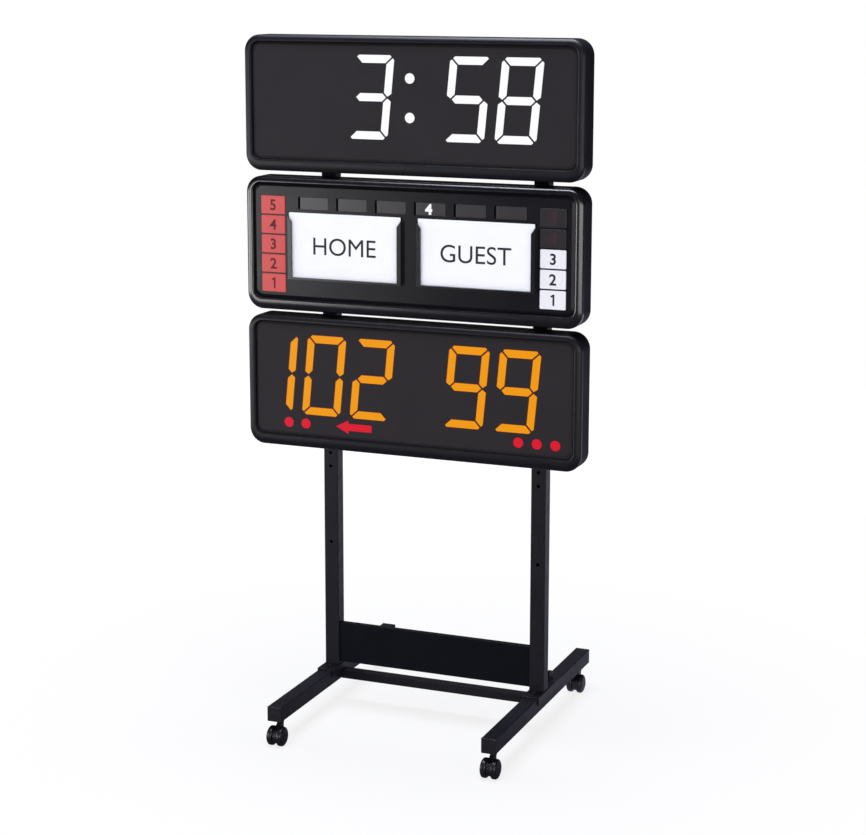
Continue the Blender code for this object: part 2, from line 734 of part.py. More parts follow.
def build_name_card(name, centre_x, centre_z, finish):
    """A card that rests on the ledge and slides up out of its holder."""
    back = FACE_Y - GAP - HOLDER_SHEET - GAP
    bm = bmesh.new()
    outline = rectangle(CARD_WIDTH, CARD_HEIGHT, (centre_x, centre_z + CARD_TOP - CARD_HEIGHT / 2))
    add_prism(bm, outline, back - CARD_SHEET, back, facing_front)
    card = object_from(bm, name, finish)
    at_pivot(card, (centre_x, back, centre_z + CARD_TOP - CARD_HEIGHT / 2))
    return card


# Brackets between the cases and the posts


def build_panel_bracket(name, centre_z, finish):
    """A back plate with a box arm to each post."""
    low, high = centre_z - BRACKET_HEIGHT / 2, centre_z + BRACKET_HEIGHT / 2
    reach = RAIL_X + POST_WIDTH / 2 + BRACKET_OVERHANG
    plate_front = PANEL_BACK + GAP
    bm = bmesh.new()
    add_box(bm, (-reach, plate_front, low), (reach, plate_front + BRACKET_SHEET, high))
    bracket = object_from(bm, name, finish)
    arms = bmesh.new()
    hollows = bmesh.new()
    for side in (-1, 1):
        x = side * RAIL_X
        outer = POST_WIDTH / 2
        inner = outer - BRACKET_SHEET
        rear = POST_FRONT - GAP
        add_box(arms, (x - outer, plate_front + BRACKET_SHEET / 2, low), (x + outer, rear, high))
        add_box(
            hollows,
            (x - inner, plate_front + BRACKET_SHEET, low - BRACKET_SHEET),
            (x + inner, rear - BRACKET_SHEET, high + BRACKET_SHEET),
        )
    unite(bracket, arms)
    cut(bracket, hollows)
    return bracket


# Power inlet and switch


def power_cutouts(centre_z):
    """Openings in the lower rear cover for the inlet and the rocker."""
    z = centre_z - POWER_DROP
    return [
        rectangle(INLET_WIDTH + 2 * GAP, INLET_HEIGHT + 2 * GAP, (INLET_X, z)),
        rectangle(ROCKER_WIDTH + 2 * RUNNING_GAP, ROCKER_HEIGHT + 4 * RUNNING_GAP, (SWITCH_X, z)),
    ]


def build_power_inlet(centre_z, finish):
    """A mains inlet: a flanged socket with three pins, open to the back."""
    z = centre_z - POWER_DROP
    rear = PANEL_BACK + GAP
    bm = bmesh.new()
    outline = rectangle(INLET_WIDTH, INLET_HEIGHT, (INLET_X, z))
    add_prism(bm, outline, rear - INLET_DEPTH, rear + COVER_SHEET / 2, facing_front)
    inlet = object_from(bm, "power_inlet", finish)
    flange = bmesh.new()
    wide, tall = INLET_WIDTH + 2 * INLET_FLANGE, INLET_HEIGHT + 2 * INLET_FLANGE
    add_prism(flange, rectangle(wide, tall, (INLET_X, z)), rear, rear + COVER_SHEET, facing_front)
    unite(inlet, flange)
    hollow = bmesh.new()
    mouth = rectangle(INLET_WIDTH - 2 * INLET_WALL, INLET_HEIGHT - 2 * INLET_WALL, (INLET_X, z))
    floor = rear - INLET_DEPTH + INLET_WALL
    add_prism(hollow, mouth, floor, rear + 2 * COVER_SHEET, facing_front)
    cut(inlet, hollow)
    pins = bmesh.new()
    for x, drop in ((-0.007, -0.002), (0.0, 0.003), (0.007, -0.002)):
        pin = rectangle(0.002, 0.004, (INLET_X + x, z + drop))
        add_prism(pins, pin, floor - INLET_WALL / 2, floor + INLET_PIN_LENGTH, facing_front)
    unite(inlet, pins)
    return inlet


def build_rocker(centre_z, finish):
    """The power rocker, pressed at its lower end; it turns about an axis across the case."""
    z = centre_z - POWER_DROP
    rear = PANEL_BACK
    half = ROCKER_HEIGHT / 2
    outline = [
        (-ROCKER_DEPTH * 0.6, -half * 0.5),
        (-ROCKER_DEPTH * 0.6, half * 0.5),
        (0.0, half * 0.92),
        (ROCKER_DEPTH * 0.35, half * 0.92),
        (ROCKER_DEPTH * 0.12, 0.0),
        (ROCKER_DEPTH * 0.35, -half * 0.92),
        (0.0, -half * 0.92),
    ]
    bm = bmesh.new()
    low, high = SWITCH_X - ROCKER_WIDTH / 2, SWITCH_X + ROCKER_WIDTH / 2
    add_prism(bm, outline, low - SWITCH_X, high - SWITCH_X, facing_side)
    rocker = object_from(bm, "power_rocker", finish)
    rocker.location = (SWITCH_X, rear - COVER_SHEET / 2, z)
    rocker.rotation_euler = (math.radians(-ROCKER_TILT), 0.0, 0.0)
    return rocker


# Stand


def build_tube(name, outline, inner, low, high, place, finish):
    """A square tube with open ends."""
    bm = bmesh.new()
    rings = [
        [place(u, v, low) for u, v in outline],
        [place(u, v, high) for u, v in outline],
        [place(u, v, high) for u, v in inner],
        [place(u, v, low) for u, v in inner],
    ]
    join_rings(bm, rings, closed=True)
    return object_from(bm, name, finish)


def along_y(u, v, w):
    """An outline in X and Z, with its length along Y."""
    return (u, w, v)


def build_rail(side, x, finish):
    """A base rail, drilled underneath for its two caster stems."""
    half = RAIL_LENGTH / 2 - END_CAP_FLANGE - GAP
    centre = (x, CASTER_HEIGHT + RAIL_SIZE / 2)
    hollow = RAIL_SIZE - 2 * RAIL_WALL
    rail = build_tube(
        side + "_rail",
        rectangle(RAIL_SIZE, RAIL_SIZE, centre),
        rectangle(hollow, hollow, centre),
        RAIL_Y - half,
        RAIL_Y + half,
        along_y,
        finish,
    )
    holes = bmesh.new()
    for y in caster_places():
        outline = circle(STEM_RADIUS + RUNNING_GAP, WHEEL_SIDES, (x, y))
        start = CASTER_HEIGHT - RAIL_WALL
        add_prism(holes, outline, start, start + 3 * RAIL_WALL, facing_up)
    cut(rail, holes)
    return rail


def build_end_cap(name, x, front, finish):
    """A plastic cap: a flange over the rail's end and a plug inside it."""
    sign = -1 if front else 1
    end = RAIL_Y + sign * RAIL_LENGTH / 2
    centre = (x, CASTER_HEIGHT + RAIL_SIZE / 2)
    plug = RAIL_SIZE - 2 * RAIL_WALL - 2 * GAP
    shoulder = end - sign * END_CAP_FLANGE
    outer = rectangle(RAIL_SIZE, RAIL_SIZE, centre)
    inner = rectangle(plug, plug, centre)
    eased = rectangle(RAIL_SIZE - 0.002, RAIL_SIZE - 0.002, centre)
    rings = [
        [along_y(u, v, end) for u, v in eased],
        [along_y(u, v, end - sign * 0.001) for u, v in outer],
        [along_y(u, v, shoulder) for u, v in outer],
        [along_y(u, v, shoulder) for u, v in inner],
        [along_y(u, v, shoulder - sign * END_CAP_PLUG) for u, v in inner],
    ]
    bm = bmesh.new()
    join_rings(bm, rings)
    return object_from(bm, name, finish)


def build_post(side, x, finish):
    """A post with its adjusting holes through the front and back walls."""
    centre = (x, POST_FRONT + POST_DEPTH / 2)
    post = build_tube(
        side + "_post",
        rectangle(POST_WIDTH, POST_DEPTH, centre),
        rectangle(POST_WIDTH - 2 * POST_WALL, POST_DEPTH - 2 * POST_WALL, centre),
        POST_BASE,
        POST_TOP,
        facing_up,
        finish,
    )
    holes = bmesh.new()
    for z in POST_HOLE_HEIGHTS:
        outline = circle(POST_HOLE_RADIUS, BOSS_SIDES, (x, z))
        start = POST_FRONT - POST_WALL
        add_prism(holes, outline, start, start + POST_DEPTH + 2 * POST_WALL, facing_front)
    cut(post, holes)
    return post


def build_post_cap(side, x, finish):
    centre = (x, POST_FRONT + POST_DEPTH / 2)
    inner = rectangle(POST_WIDTH - 2 * (POST_WALL + GAP), POST_DEPTH - 2 * (POST_WALL + GAP), centre)
    outer = rectangle(POST_WIDTH, POST_DEPTH, centre)
    eased = rectangle(POST_WIDTH - 0.002, POST_DEPTH - 0.002, centre)
    low = POST_TOP + GAP
    rings = [
        [(u, v, low - END_CAP_PLUG) for u, v in inner],
        [(u, v, low) for u, v in inner],
        [(u, v, low) for u, v in outer],
        [(u, v, low + END_CAP_FLANGE - 0.001) for u, v in outer],
        [(u, v, low + END_CAP_FLANGE) for u, v in eased],
    ]
    bm = bmesh.new()
    join_rings(bm, rings)
    return object_from(bm, side + "_post_cap", finish)


def build_foot_bracket(side, x, finish):
    """A saddle over the rail with a spigot that the post slides onto."""
    inner = RAIL_SIZE / 2 + GAP
    outer = inner + FOOT_PLATE
    top = RAIL_TOP + GAP + FOOT_PLATE
    skirt = RAIL_TOP - FOOT_SKIRT
    half = [(outer, skirt), (outer, top)]
    outline = [(inner, skirt)] + half
    outline += [(-u, v) for u, v in reversed(half)] + [(-inner, skirt), (-inner, top - FOOT_PLATE)]
    outline += [(inner, top - FOOT_PLATE)]
    outline = [(x + u, v) for u, v in outline]
    middle = POST_FRONT + POST_DEPTH / 2
    bm = bmesh.new()
    add_prism(bm, outline, middle - FOOT_FRONT, middle + FOOT_REAR, along_y)
    foot = object_from(bm, side + "_foot_bracket", finish)
    spigot = bmesh.new()
    wide = POST_WIDTH - 2 * (POST_WALL + GAP)
    deep = POST_DEPTH - 2 * (POST_WALL + GAP)
    section = rectangle(wide, deep, (x, middle))
    add_prism(spigot, section, top - FOOT_PLATE / 2, top + FOOT_SPIGOT, facing_up)
    unite(foot, spigot)
    return foot


def build_cross_bar(finish):
    """The tube between the rails, level with their undersides."""
    reach = RAIL_X - RAIL_SIZE / 2 - GAP
    centre = (POST_FRONT + POST_DEPTH / 2 + CROSS_BAR_SETBACK, CASTER_HEIGHT + CROSS_BAR_HEIGHT / 2)
    wall = 2 * CROSS_BAR_WALL
    return build_tube(
        "cross_bar",
        rectangle(CROSS_BAR_DEPTH, CROSS_BAR_HEIGHT, centre),
        rectangle(CROSS_BAR_DEPTH - wall, CROSS_BAR_HEIGHT - wall, centre),
        -reach,
        reach,
        facing_side,
        finish,
    )


def build_cross_plate(finish):
    """A folded sheet between the posts, with its edges turned back all round."""
    reach = RAIL_X - POST_WIDTH / 2 - GAP
    front = POST_FRONT + CROSS_PLATE_SETBACK
    top = CROSS_PLATE_BASE + CROSS_PLATE_HEIGHT
    bm = bmesh.new()
    add_box(bm, (-reach, front, CROSS_PLATE_BASE), (reach, front + CROSS_PLATE_FOLD, top))
    plate = object_from(bm, "cross_plate", finish)
    sheet = CROSS_PLATE_SHEET
    hollow = bmesh.new()
    add_box(
        hollow,
        (sheet - reach, front + sheet, CROSS_PLATE_BASE + sheet),
        (reach - sheet, front + 2 * CROSS_PLATE_FOLD, top - sheet),
    )
    cut(plate, hollow)
    return plate


# Casters


def caster_places():
    """Y of the front and rear caster stems."""
    reach = RAIL_LENGTH / 2 - CASTER_INSET
    return (RAIL_Y - reach, RAIL_Y + reach)


def build_caster_fork(name, x, y, finish):
    """The swivel body: a disc between the wheels, a neck, a boss and the stem in the rail."""
    axle = (y - CASTER_TRAIL, WHEEL_RADIUS)
    half = WHEEL_SPACING / 2 - RUNNING_GAP
    boss_top = CASTER_HEIGHT - SWIVEL_BOSS_DROP
    bm = bmesh.new()
    disc = circle(FORK_DISC_RADIUS, WHEEL_SIDES, axle)
    add_prism(bm, disc, x - half, x + half, facing_side)
    fork = object_from(bm, name, finish, smooth=True)
    neck = bmesh.new()
    top = boss_top - SWIVEL_BOSS_RADIUS
    outline = [
        (axle[0], axle[1]),
        (y + SWIVEL_BOSS_RADIUS * 0.8, axle[1] + 0.006),
        (y + SWIVEL_BOSS_RADIUS * 0.8, top + 0.002),
        (y - SWIVEL_BOSS_RADIUS * 0.8, top + 0.002),
        (axle[0] - FORK_DISC_RADIUS * 0.3, axle[1] + FORK_DISC_RADIUS * 0.9),
    ]
    add_prism(neck, outline, x - half * 0.92, x + half * 0.92, facing_side)
    unite(fork, neck)
    boss = bmesh.new()
    add_prism(boss, circle(SWIVEL_BOSS_RADIUS, WHEEL_SIDES, (x, y)), top, boss_top, facing_up)
    unite(fork, boss)
    stem = bmesh.new()
    section = circle(STEM_RADIUS, WHEEL_SIDES, (x, y))
    add_prism(stem, section, boss_top - STEM_RADIUS, CASTER_HEIGHT + STEM_RISE, facing_up)
    unite(fork, stem)
    bore = bmesh.new()
    hole = circle(AXLE_RADIUS + RUNNING_GAP, WHEEL_SIDES, axle)
    add_prism(bore, hole, x - WHEEL_SPACING, x + WHEEL_SPACING, facing_side)
    cut(fork, bore)
    at_pivot(fork, (x, y, CASTER_HEIGHT))
    return fork


def build_wheel_pair(name, x, y, finish):
    """Two domed wheels on one axle."""
    inner = WHEEL_SPACING / 2
    outer = inner + WHEEL_WIDTH
    half = [
        (outer, WHEEL_HUB_RADIUS),
        (outer - WHEEL_WIDTH * 0.06, WHEEL_RADIUS * 0.62),
        (outer - WHEEL_WIDTH * 0.25, WHEEL_RADIUS * 0.88),
        (outer - WHEEL_WIDTH * 0.48, WHEEL_RADIUS),
        (inner + WHEEL_WIDTH * 0.16, WHEEL_RADIUS),
        (inner, WHEEL_RADIUS * 0.94),
        (inner, AXLE_RADIUS),
    ]
    profile = [(-offset, radius) for offset, radius in half] + list(reversed(half))
    bm = bmesh.new()
    rings = []
    for offset, radius in profile:
        rings.append([(offset, u, v) for u, v in circle(radius, WHEEL_SIDES)])
    join_rings(bm, rings)
    wheels = object_from(bm, name, finish, smooth=True)
    wheels.location = (x, y - CASTER_TRAIL, WHEEL_RADIUS)
    return wheels


def build_panels(finishes):
    windows = {
        "top": build_clock(TOP_Z, finishes["white"]),
        "middle": build_period_windows(MIDDLE_Z, finishes["window"])
        + build_foul_tiles("home_foul_tiles", -TILE_X, MIDDLE_Z, finishes["red"])
        + build_foul_tiles("guest_foul_tiles", TILE_X, MIDDLE_Z, finishes["white"]),
        "lower": build_score(LOWER_Z, finishes["amber"])
        + build_foul_dots("home_foul_dots", -DOT_CENTRE_X, (0, 1), LOWER_Z, finishes["red"])
        + build_foul_dots("guest_foul_dots", DOT_CENTRE_X, (-1, 0, 1), LOWER_Z, finishes["red"])
        + build_arrow(LOWER_Z, finishes["red"]),
    }
    for name, centre_z in (("top", TOP_Z), ("middle", MIDDLE_Z), ("lower", LOWER_Z)):
        build_bezel(name + "_bezel", centre_z, finishes["case"])
        cover = build_rear_cover(name + "_rear_cover", centre_z, finishes["case"])
        if name == "lower":
            holes = bmesh.new()
            for outline in power_cutouts(centre_z):
                start = PANEL_BACK - 2 * COVER_SHEET
                add_prism(holes, outline, start, PANEL_BACK + COVER_SHEET, facing_front)
            cut(cover, holes)
        build_face(name + "_face", centre_z, windows[name], finishes["face"])
        build_board(name + "_circuit_board", centre_z, finishes["board"])
        build_panel_bracket(name + "_panel_bracket", centre_z, finishes["steel"])
    for side, x in (("home", -CARD_X), ("guest", CARD_X)):
        build_card_holder(side + "_card_holder", x, MIDDLE_Z, finishes["face"])
        build_name_card(side + "_name_card", x, MIDDLE_Z, finishes["card"])
    build_power_inlet(LOWER_Z, finishes["plastic"])
    build_rocker(LOWER_Z, finishes["plastic"])


def build_stand(finishes):
    for side, x in (("left", -RAIL_X), ("right", RAIL_X)):
        build_rail(side, x, finishes["steel"])
        build_post(side, x, finishes["steel"])
        build_post_cap(side, x, finishes["plastic"])
        build_foot_bracket(side, x, finishes["steel"])
        for place, y in zip(("front", "rear"), caster_places()):
            name = f"{place}_{side}"
            build_end_cap(name + "_rail_cap", x, place == "front", finishes["plastic"])
            build_caster_fork(name + "_caster_fork", x, y, finishes["plastic"])
            build_wheel_pair(name + "_wheel_pair", x, y, finishes["wheel"])
    build_cross_bar(finishes["steel"])
    build_cross_plate(finishes["steel"])


def main():
    clear_scene()
    finishes = {
        "steel": material("powder_coated_steel", (0.022, 0.022, 0.027), 0.45, 0.0),
        "case": material("case_plastic", (0.018, 0.018, 0.021), 0.35),
        "face": material("smoked_face", (0.032, 0.032, 0.037), 0.30),
        "white": material("white_lamp", (0.98, 0.98, 0.98), 0.40, glow=0.6),
        "amber": material("amber_lamp", (0.90, 0.33, 0.01), 0.40, glow=0.6),
        "red": material("red_lamp", (0.80, 0.06, 0.06), 0.40, glow=0.4),
        "window": material("period_window", (0.045, 0.042, 0.047), 0.35),
        "board": material("circuit_board", (0.02, 0.10, 0.05), 0.55),
        "card": material("name_card", (0.93, 0.93, 0.94), 0.60),
        "plastic": material("black_plastic", (0.012, 0.012, 0.015), 0.50),
        "wheel": material("wheel_plastic", (0.010, 0.010, 0.014), 0.45),
    }
    build_panels(finishes)
    build_stand(finishes)


main()
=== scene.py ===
import math

import bmesh
import bpy
from mathutils import Matrix, Quaternion, Vector


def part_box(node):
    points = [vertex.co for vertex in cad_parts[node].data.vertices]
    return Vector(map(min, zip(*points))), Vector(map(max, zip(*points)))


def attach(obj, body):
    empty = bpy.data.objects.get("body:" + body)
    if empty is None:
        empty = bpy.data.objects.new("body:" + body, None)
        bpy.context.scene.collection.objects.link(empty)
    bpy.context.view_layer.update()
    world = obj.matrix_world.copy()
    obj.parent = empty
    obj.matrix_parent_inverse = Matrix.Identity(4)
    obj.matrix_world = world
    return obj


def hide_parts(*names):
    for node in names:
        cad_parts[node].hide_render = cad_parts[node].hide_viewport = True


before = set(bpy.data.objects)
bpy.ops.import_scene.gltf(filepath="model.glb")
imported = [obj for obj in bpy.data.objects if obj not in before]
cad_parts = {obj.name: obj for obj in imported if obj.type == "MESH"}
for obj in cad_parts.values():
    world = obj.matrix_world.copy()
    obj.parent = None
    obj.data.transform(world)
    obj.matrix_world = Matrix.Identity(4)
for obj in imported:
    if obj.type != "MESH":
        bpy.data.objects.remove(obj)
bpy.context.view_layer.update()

# Sizes are in metres and turns in degrees; most are shared with the solids.
# A triple of widths is for the sides, the top and the bottom.

# Panel cases
PANEL_MIDDLES = {"top": 1.580, "middle": 1.234, "lower": 0.888}
PANEL_HALF_WIDTH = 0.440
PANEL_HALF_HEIGHT = 0.166
PANEL_CORNER = 0.040
CORNER_STEPS = 14
CASE_WALL = 0.003
CASE_DEPTH = 0.069
BEZEL_DEPTH = 0.046
GAP = 0.0003
PANEL_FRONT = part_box("top_bezel")[0].y
PANEL_BACK = PANEL_FRONT + CASE_DEPTH
RIM_ROUND = (0.0150, 0.0130, 0.0200)
RIM_ROUND_DEPTH = 0.0105
RIM_ROUND_END = 0.014
RIM_OPENING = (0.0213, 0.0180, 0.0298)
RIM_SHOULDER = (0.0060, 0.0048, 0.0060)
RIM_DROP = 0.0072
RIM_INNER_CORNER = 0.020
RIM_LIP_BACK = 0.0195
RIM_STEPS = 14
MATT_SHOULDER_BANDS = 9
CARD_ROOM = 0.0020
COVER_SHEET = 0.0025
COVER_EDGE = 0.004
COVER_EDGE_STEPS = 6
COVER_LIP = 0.006
SHADOW_INSET = 0.0007
SHADOW_DEPTH = 0.001
COVER_CUT = (PANEL_BACK - 0.006, PANEL_BACK + 0.003)
VENT_X = 0.130
VENT_RISE = 0.088
VENT_ROWS = 5
VENT_PITCH = 0.010
VENT_HALF_SIZE = (0.030, 0.002)
VENT_CORNER = 0.0019
FACE_FLAT = (0.0314, 0.0240, 0.0380)
FACE_DEPTH = 0.005
FACE_GROOVE = 0.0075
GROOVE_EASE = 0.0005
FACE_SHEET = 0.003
FACE_CORNER = 0.014
FACE_KNEE = (0.0, 0.04, 0.08, 0.14, 0.22, 0.35, 0.6, 0.97)
FACE_KNEE_SOFTNESS = 0.15
FACE_FLANGE = 0.008
FLANGE_FRONT = RIM_LIP_BACK + GAP
FACE_Y = PANEL_FRONT + FACE_DEPTH
FACE_CUT = (FACE_Y - 0.003, FACE_Y + 0.006)

# Digits and lamps
DIGIT_HEIGHT = 0.203
DIGIT_WIDTH = 0.1055
DIGIT_STROKE = 0.0203
DIGIT_SLANT = 0.096
DIGIT_RISE = 0.0205
DIGIT_CORNER = 0.012
DIGIT_TIP = 0.013
MITRE_GAP = 0.003
TENS_TO_UNITS = 0.1305
UNITS_X = (-0.1007, 0.2773)
ONE_OFFSET = 0.0887
ONE_SHIFT = (DIGIT_STROKE - DIGIT_WIDTH) / 2
COLON_SPACING = 0.0936
SEGMENTS_OF = {
    " ": "", "0": "abcdef", "1": "bc", "2": "abged", "3": "abgcd", "5": "afgcd", "8": "abcdefg", "9": "abcdfg"
}
DOT_RADIUS = 0.013
DOT_SIDES = 40
DOT_PITCH = 0.047
DOT_CENTRE_X = 0.329
DOT_RISE = -0.1042
ARROW_TIP = -0.2000
ARROW_NECK = -0.1653
ARROW_TAIL = -0.1025
ARROW_HEAD = 0.0354
ARROW_SHAFT = 0.0186
ARROW_CORNER = 0.0010
LAMP_CORNER = 0.0016
LAMP_PROUD = 0.0004
LAMP_EDGE = 0.0003
LAMP_BORDER = 0.0006
LAMP_BACK = FACE_Y + FACE_SHEET + GAP
SURROUND_WIDTH = 0.0009
SURROUND_PROUD = 0.0001
SURROUND_BACK = 0.00002
TILE_X = 0.3655
TILE_RISE = -0.001
TILE_PITCH = 0.04858
TILE_WIDTH = 0.064
TILE_HEIGHT = 0.04448
TILE_PROUD = 0.003
TILE_EDGE = 0.0010
TILE_CORNER = 0.0022
TILE_NUMERAL_HEIGHT = 0.0272
TILE_NUMERAL_WEIGHT = 0.024
WINDOW_RISE = 0.103
WINDOW_PITCH = 0.1028
WINDOW_WIDTH = 0.081
WINDOW_HEIGHT = 0.031
WINDOW_SLIT = 0.006
WINDOW_LENS_CORNER = 0.0016
WINDOW_CORNER = 0.0018
PERIOD_NUMERAL_HEIGHT = 0.0262
PERIOD_NUMERAL_WEIGHT = 0.05
PERIOD_NUMERAL_X = 0.0490
BLOCK_CORNER = 0.002
INK_LIFT = 0.00012
INK_SHEET = 0.0001
NUMERAL_ONE = (
    (0.0, 0.0), (0.17, 0.0), (0.17, 1.0), (0.03, 1.0), (-0.20, 0.84), (-0.13, 0.70), (0.0, 0.78)
)

# Name cards
HOLDER_LIP = 0.008
HOLDER_SLANT = 1.4
CUT_PAST = 0.001
CARD_CORNER = 0.0015
CARD_EDGE = 0.0003
CARD_WORD_HEIGHT = 0.043
CARD_WORD_WEIGHT = 0.0

# Stand and casters
POST_X = 0.2835
POST_MIDDLE_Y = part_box("left_post")[0].y + 0.0175
POST_HOLES_Z = (0.4395, 0.6415, 0.6765)
POST_HOLE_RADIUS = 0.0045
POST_HOLE_REACH = 0.06
TUBE_INNER_CORNER = 0.0008
WHEEL_RADIUS = 0.0245
WHEEL_SPACING = 0.013
WHEEL_HUB_RADIUS = 0.008
WHEEL_SHOULDER = 0.0078
WHEEL_CAP = ((0.0012, 0.0004), (0.0012, 0.0052), (0.0002, 0.0062))
WHEEL_INNER_EDGE = ((0.0030, 0.0), (0.0012, 0.0006), (0.0, 0.0020))
WHEEL_AXLE_RADIUS = 0.0030
WHEEL_SIDES = 72

# Screws; a screw's size is its head's radius and height
COVER_SCREW = (0.0034, 0.0022)
BRACKET_SCREW = (0.0048, 0.0030)
FOOT_SCREW = (0.0062, 0.0045)
CLAMP_SCREW = (0.0080, 0.0215)
SOCKET_SHARE = 0.45
SCREW_SINK = 0.0002
COVER_SCREWS_X = (-0.415, -0.14, 0.14, 0.415)
COVER_SCREWS_RISE = 0.146
BRACKET_SCREWS_X = (-0.235, -0.08, 0.08, 0.235)
BRACKET_SCREWS_RISE = 0.050
BRACKET_SHEET = 0.003
FOOT_SCREWS_FRONT = (0.012, 0.030)
FOOT_SCREW_REAR = 0.030
FOOT_PLATE_TOP = 0.0033
CLAMP_FROM_END = 0.0112
CLAMP_RISE = 0.0031

# Power inlet and rocker
INLET_X = -0.060
INLET_HALF_SIZE = (0.0143, 0.0103)
SWITCH_X = -0.110
SWITCH_HALF_SIZE = (0.0074, 0.0118)
OPENING_CORNER = 0.0006
PIN_PLACES = ((-0.007, -0.002), (0.0, 0.003), (0.007, -0.002))
PIN_HALF_SIZE = (0.0011, 0.0021)
PIN_DEPTHS = (0.003, 0.0134)
ROCKER_TILT = 8.0
ROCKER_FACE = 12.8
ROCKER_WAIST = 0.0012
MARK_RISE = 0.0055
MARK_BACK = 0.00005
MARK_BAR = (0.0005, 0.0020)
MARK_CORNER = 0.0003
MARK_RING = (0.0021, 0.0013)

# Camera and backdrop
CAMERA_LENS = 86.277
CAMERA_SHIFT = -0.0779
CAMERA_TURN = 22.071
CAMERA_TILT = 10.422
CAMERA_ROLL = 0.065
CAMERA_TARGET = (-0.0044, 0.0, 0.9629)
CAMERA_DISTANCE = 5.2086
BACKDROP_WAY = (-0.372, 0.918, -0.14)
BACKDROP_SPREAD = 0.96
STUDIO_TINT = (0.92, 0.94, 1.0, 1.0)
STUDIO_LEVEL = 0.12
MIRRORED_LOSS = 0.09

# The floor; a fade has its levels at both ends and the distances that it runs between
FLOOR_SHADE = 0.72
FLOOR_FADE = (0.82, 1.0, 0.5, 1.4)
SWEEP_RISE = (0.40, 1.15, 0.6, 3.0)
SWEEP_FALL = (1.0, 0.0, 4.5, 6.0)
SWEEP_BEHIND = (0.0, 1.0, -0.3, 0.4)
SWEEP_WAY = (0.1, 1.0, 0.0)
SWEEP_LEVELS = (0.92, 0.08)
SWEEP_TINT = (0.90, 0.89, 1.15)


def linear(red, green, blue):
    """A colour as seen on screen (0 to 255), as the shader wants it."""
    shares = [v / 255 for v in (red, green, blue)]
    return tuple(((v + 0.055) / 1.055) ** 2.4 if v > 10 / 255 else v / 12.92 for v in shares)


# Materials


def set_inputs(tree, node, **inputs):
    """Sets inputs, by name or by _ and their number, to values or to sockets to link."""
    for key, value in inputs.items():
        socket = node.inputs[int(key[1:]) if key[1:].isdigit() else key.replace("_", " ")]
        if isinstance(value, bpy.types.NodeSocket):
            tree.links.new(value, socket)
        else:
            socket.default_value = value
    return node


def add_node(tree, kind, settings=None, **inputs):
    made = tree.nodes.new(kind)
    for key, value in (settings or {}).items():
        setattr(made, key, value)
    return set_inputs(tree, made, **inputs)


def maths(tree, operation, *values):
    """The result of one Math node on numbers or sockets."""
    inputs = {f"_{i}": value for i, value in enumerate(values)}
    return add_node(tree, "ShaderNodeMath", {"operation": operation}, **inputs).outputs[0]


class Finish:
    """A Principled material that grows by one layer of pattern at a time."""

    def __init__(self, name, colour, roughness, metallic=0.0, specular=0.5):
        self.material = bpy.data.materials.new(name)
        self.material.use_nodes = True
        self.material.diffuse_color = (*colour, 1.0)
        self.tree = self.material.node_tree
        self.shader = self.tree.nodes["Principled BSDF"]
        self.colour = colour
        self.roughness = roughness
        self.set(Base_Color=(*colour, 1.0), Roughness=roughness)
        self.set(Metallic=metallic, Specular_IOR_Level=specular)
        self.place = self.node("TexCoord").outputs["Object"]
        self.height = None

    def node(self, kind, settings=None, **inputs):
        return add_node(self.tree, "ShaderNode" + kind, settings, **inputs)

    def set(self, **inputs):
        """Sets inputs of the shader, and gives the finish back."""
        set_inputs(self.tree, self.shader, **inputs)
        return self

    def noise(self, size, detail=3.0, stretch=(1.0, 1.0, 1.0)):
        """Noise whose lumps are about size metres across."""
        place = self.place
        if stretch != (1.0, 1.0, 1.0):
            place = self.node("Mapping", Vector=place, Scale=stretch).outputs["Vector"]
        made = self.node("TexNoise", Vector=place, Scale=1.0 / size, Detail=detail, Roughness=0.55)
        return made.outputs["Fac"]

    def span(self, value, low, high, start=0.3, end=0.7):
        """Maps start to low and end to high, and keeps the result between them."""
        sizes = {"From_Min": start, "From_Max": end, "To_Min": low, "To_Max": high}
        return self.node("MapRange", Value=value, **sizes).outputs["Result"]

    def mottle(self, size, amount, detail=3.0):
        """Lets the base colour drift between two shades of itself."""
        shades = [tuple(min(1.0, v * (1 + way * amount)) for v in self.colour) for way in (-1, 1)]
        return self.set(Base_Color=self.blend(self.span(self.noise(size, detail), 0.0, 1.0), *shades))

    def blend(self, share, first, second):
        """A mix of two colours."""
        colours = {"_6": (*first, 1.0), "_7": (*second, 1.0)}
        return self.node("Mix", {"data_type": "RGBA"}, _0=share, **colours).outputs[2]

    def polish(self, size, amount):
        """Lets the roughness drift, as handling leaves it."""
        low, high = self.roughness - amount, self.roughness + amount
        return self.set(Roughness=self.span(self.noise(size, 4.0), low, high))

    def relief(self, size, depth, strength=1.0, detail=2.0, stretch=(1.0, 1.0, 1.0)):
        """Adds bumps about size across and depth high."""
        layers = {"Height": self.noise(size, detail, stretch)}
        if self.height:
            layers["Normal"] = self.height
        self.height = self.node("Bump", Strength=strength, Distance=depth, **layers).outputs["Normal"]
        return self.set(Normal=self.height)

    def glow(self, colour, strength, pitch=0.0, ripple=0.0):
        """Lights the surface, a little brighter over each light source behind it."""
        self.set(Emission_Color=(*colour, 1.0), Emission_Strength=strength)
        if not ripple:
            return self
        axes = self.node("SeparateXYZ", Vector=self.place)
        turns = [maths(self.tree, "MULTIPLY", axes.outputs[axis], 2 * math.pi / pitch) for axis in ("X", "Z")]
        both = maths(self.tree, "MULTIPLY", *(maths(self.tree, "COSINE", turn) for turn in turns))
        return self.set(Emission_Strength=self.span(both, strength - ripple, strength + ripple, -1.0, 1.0))


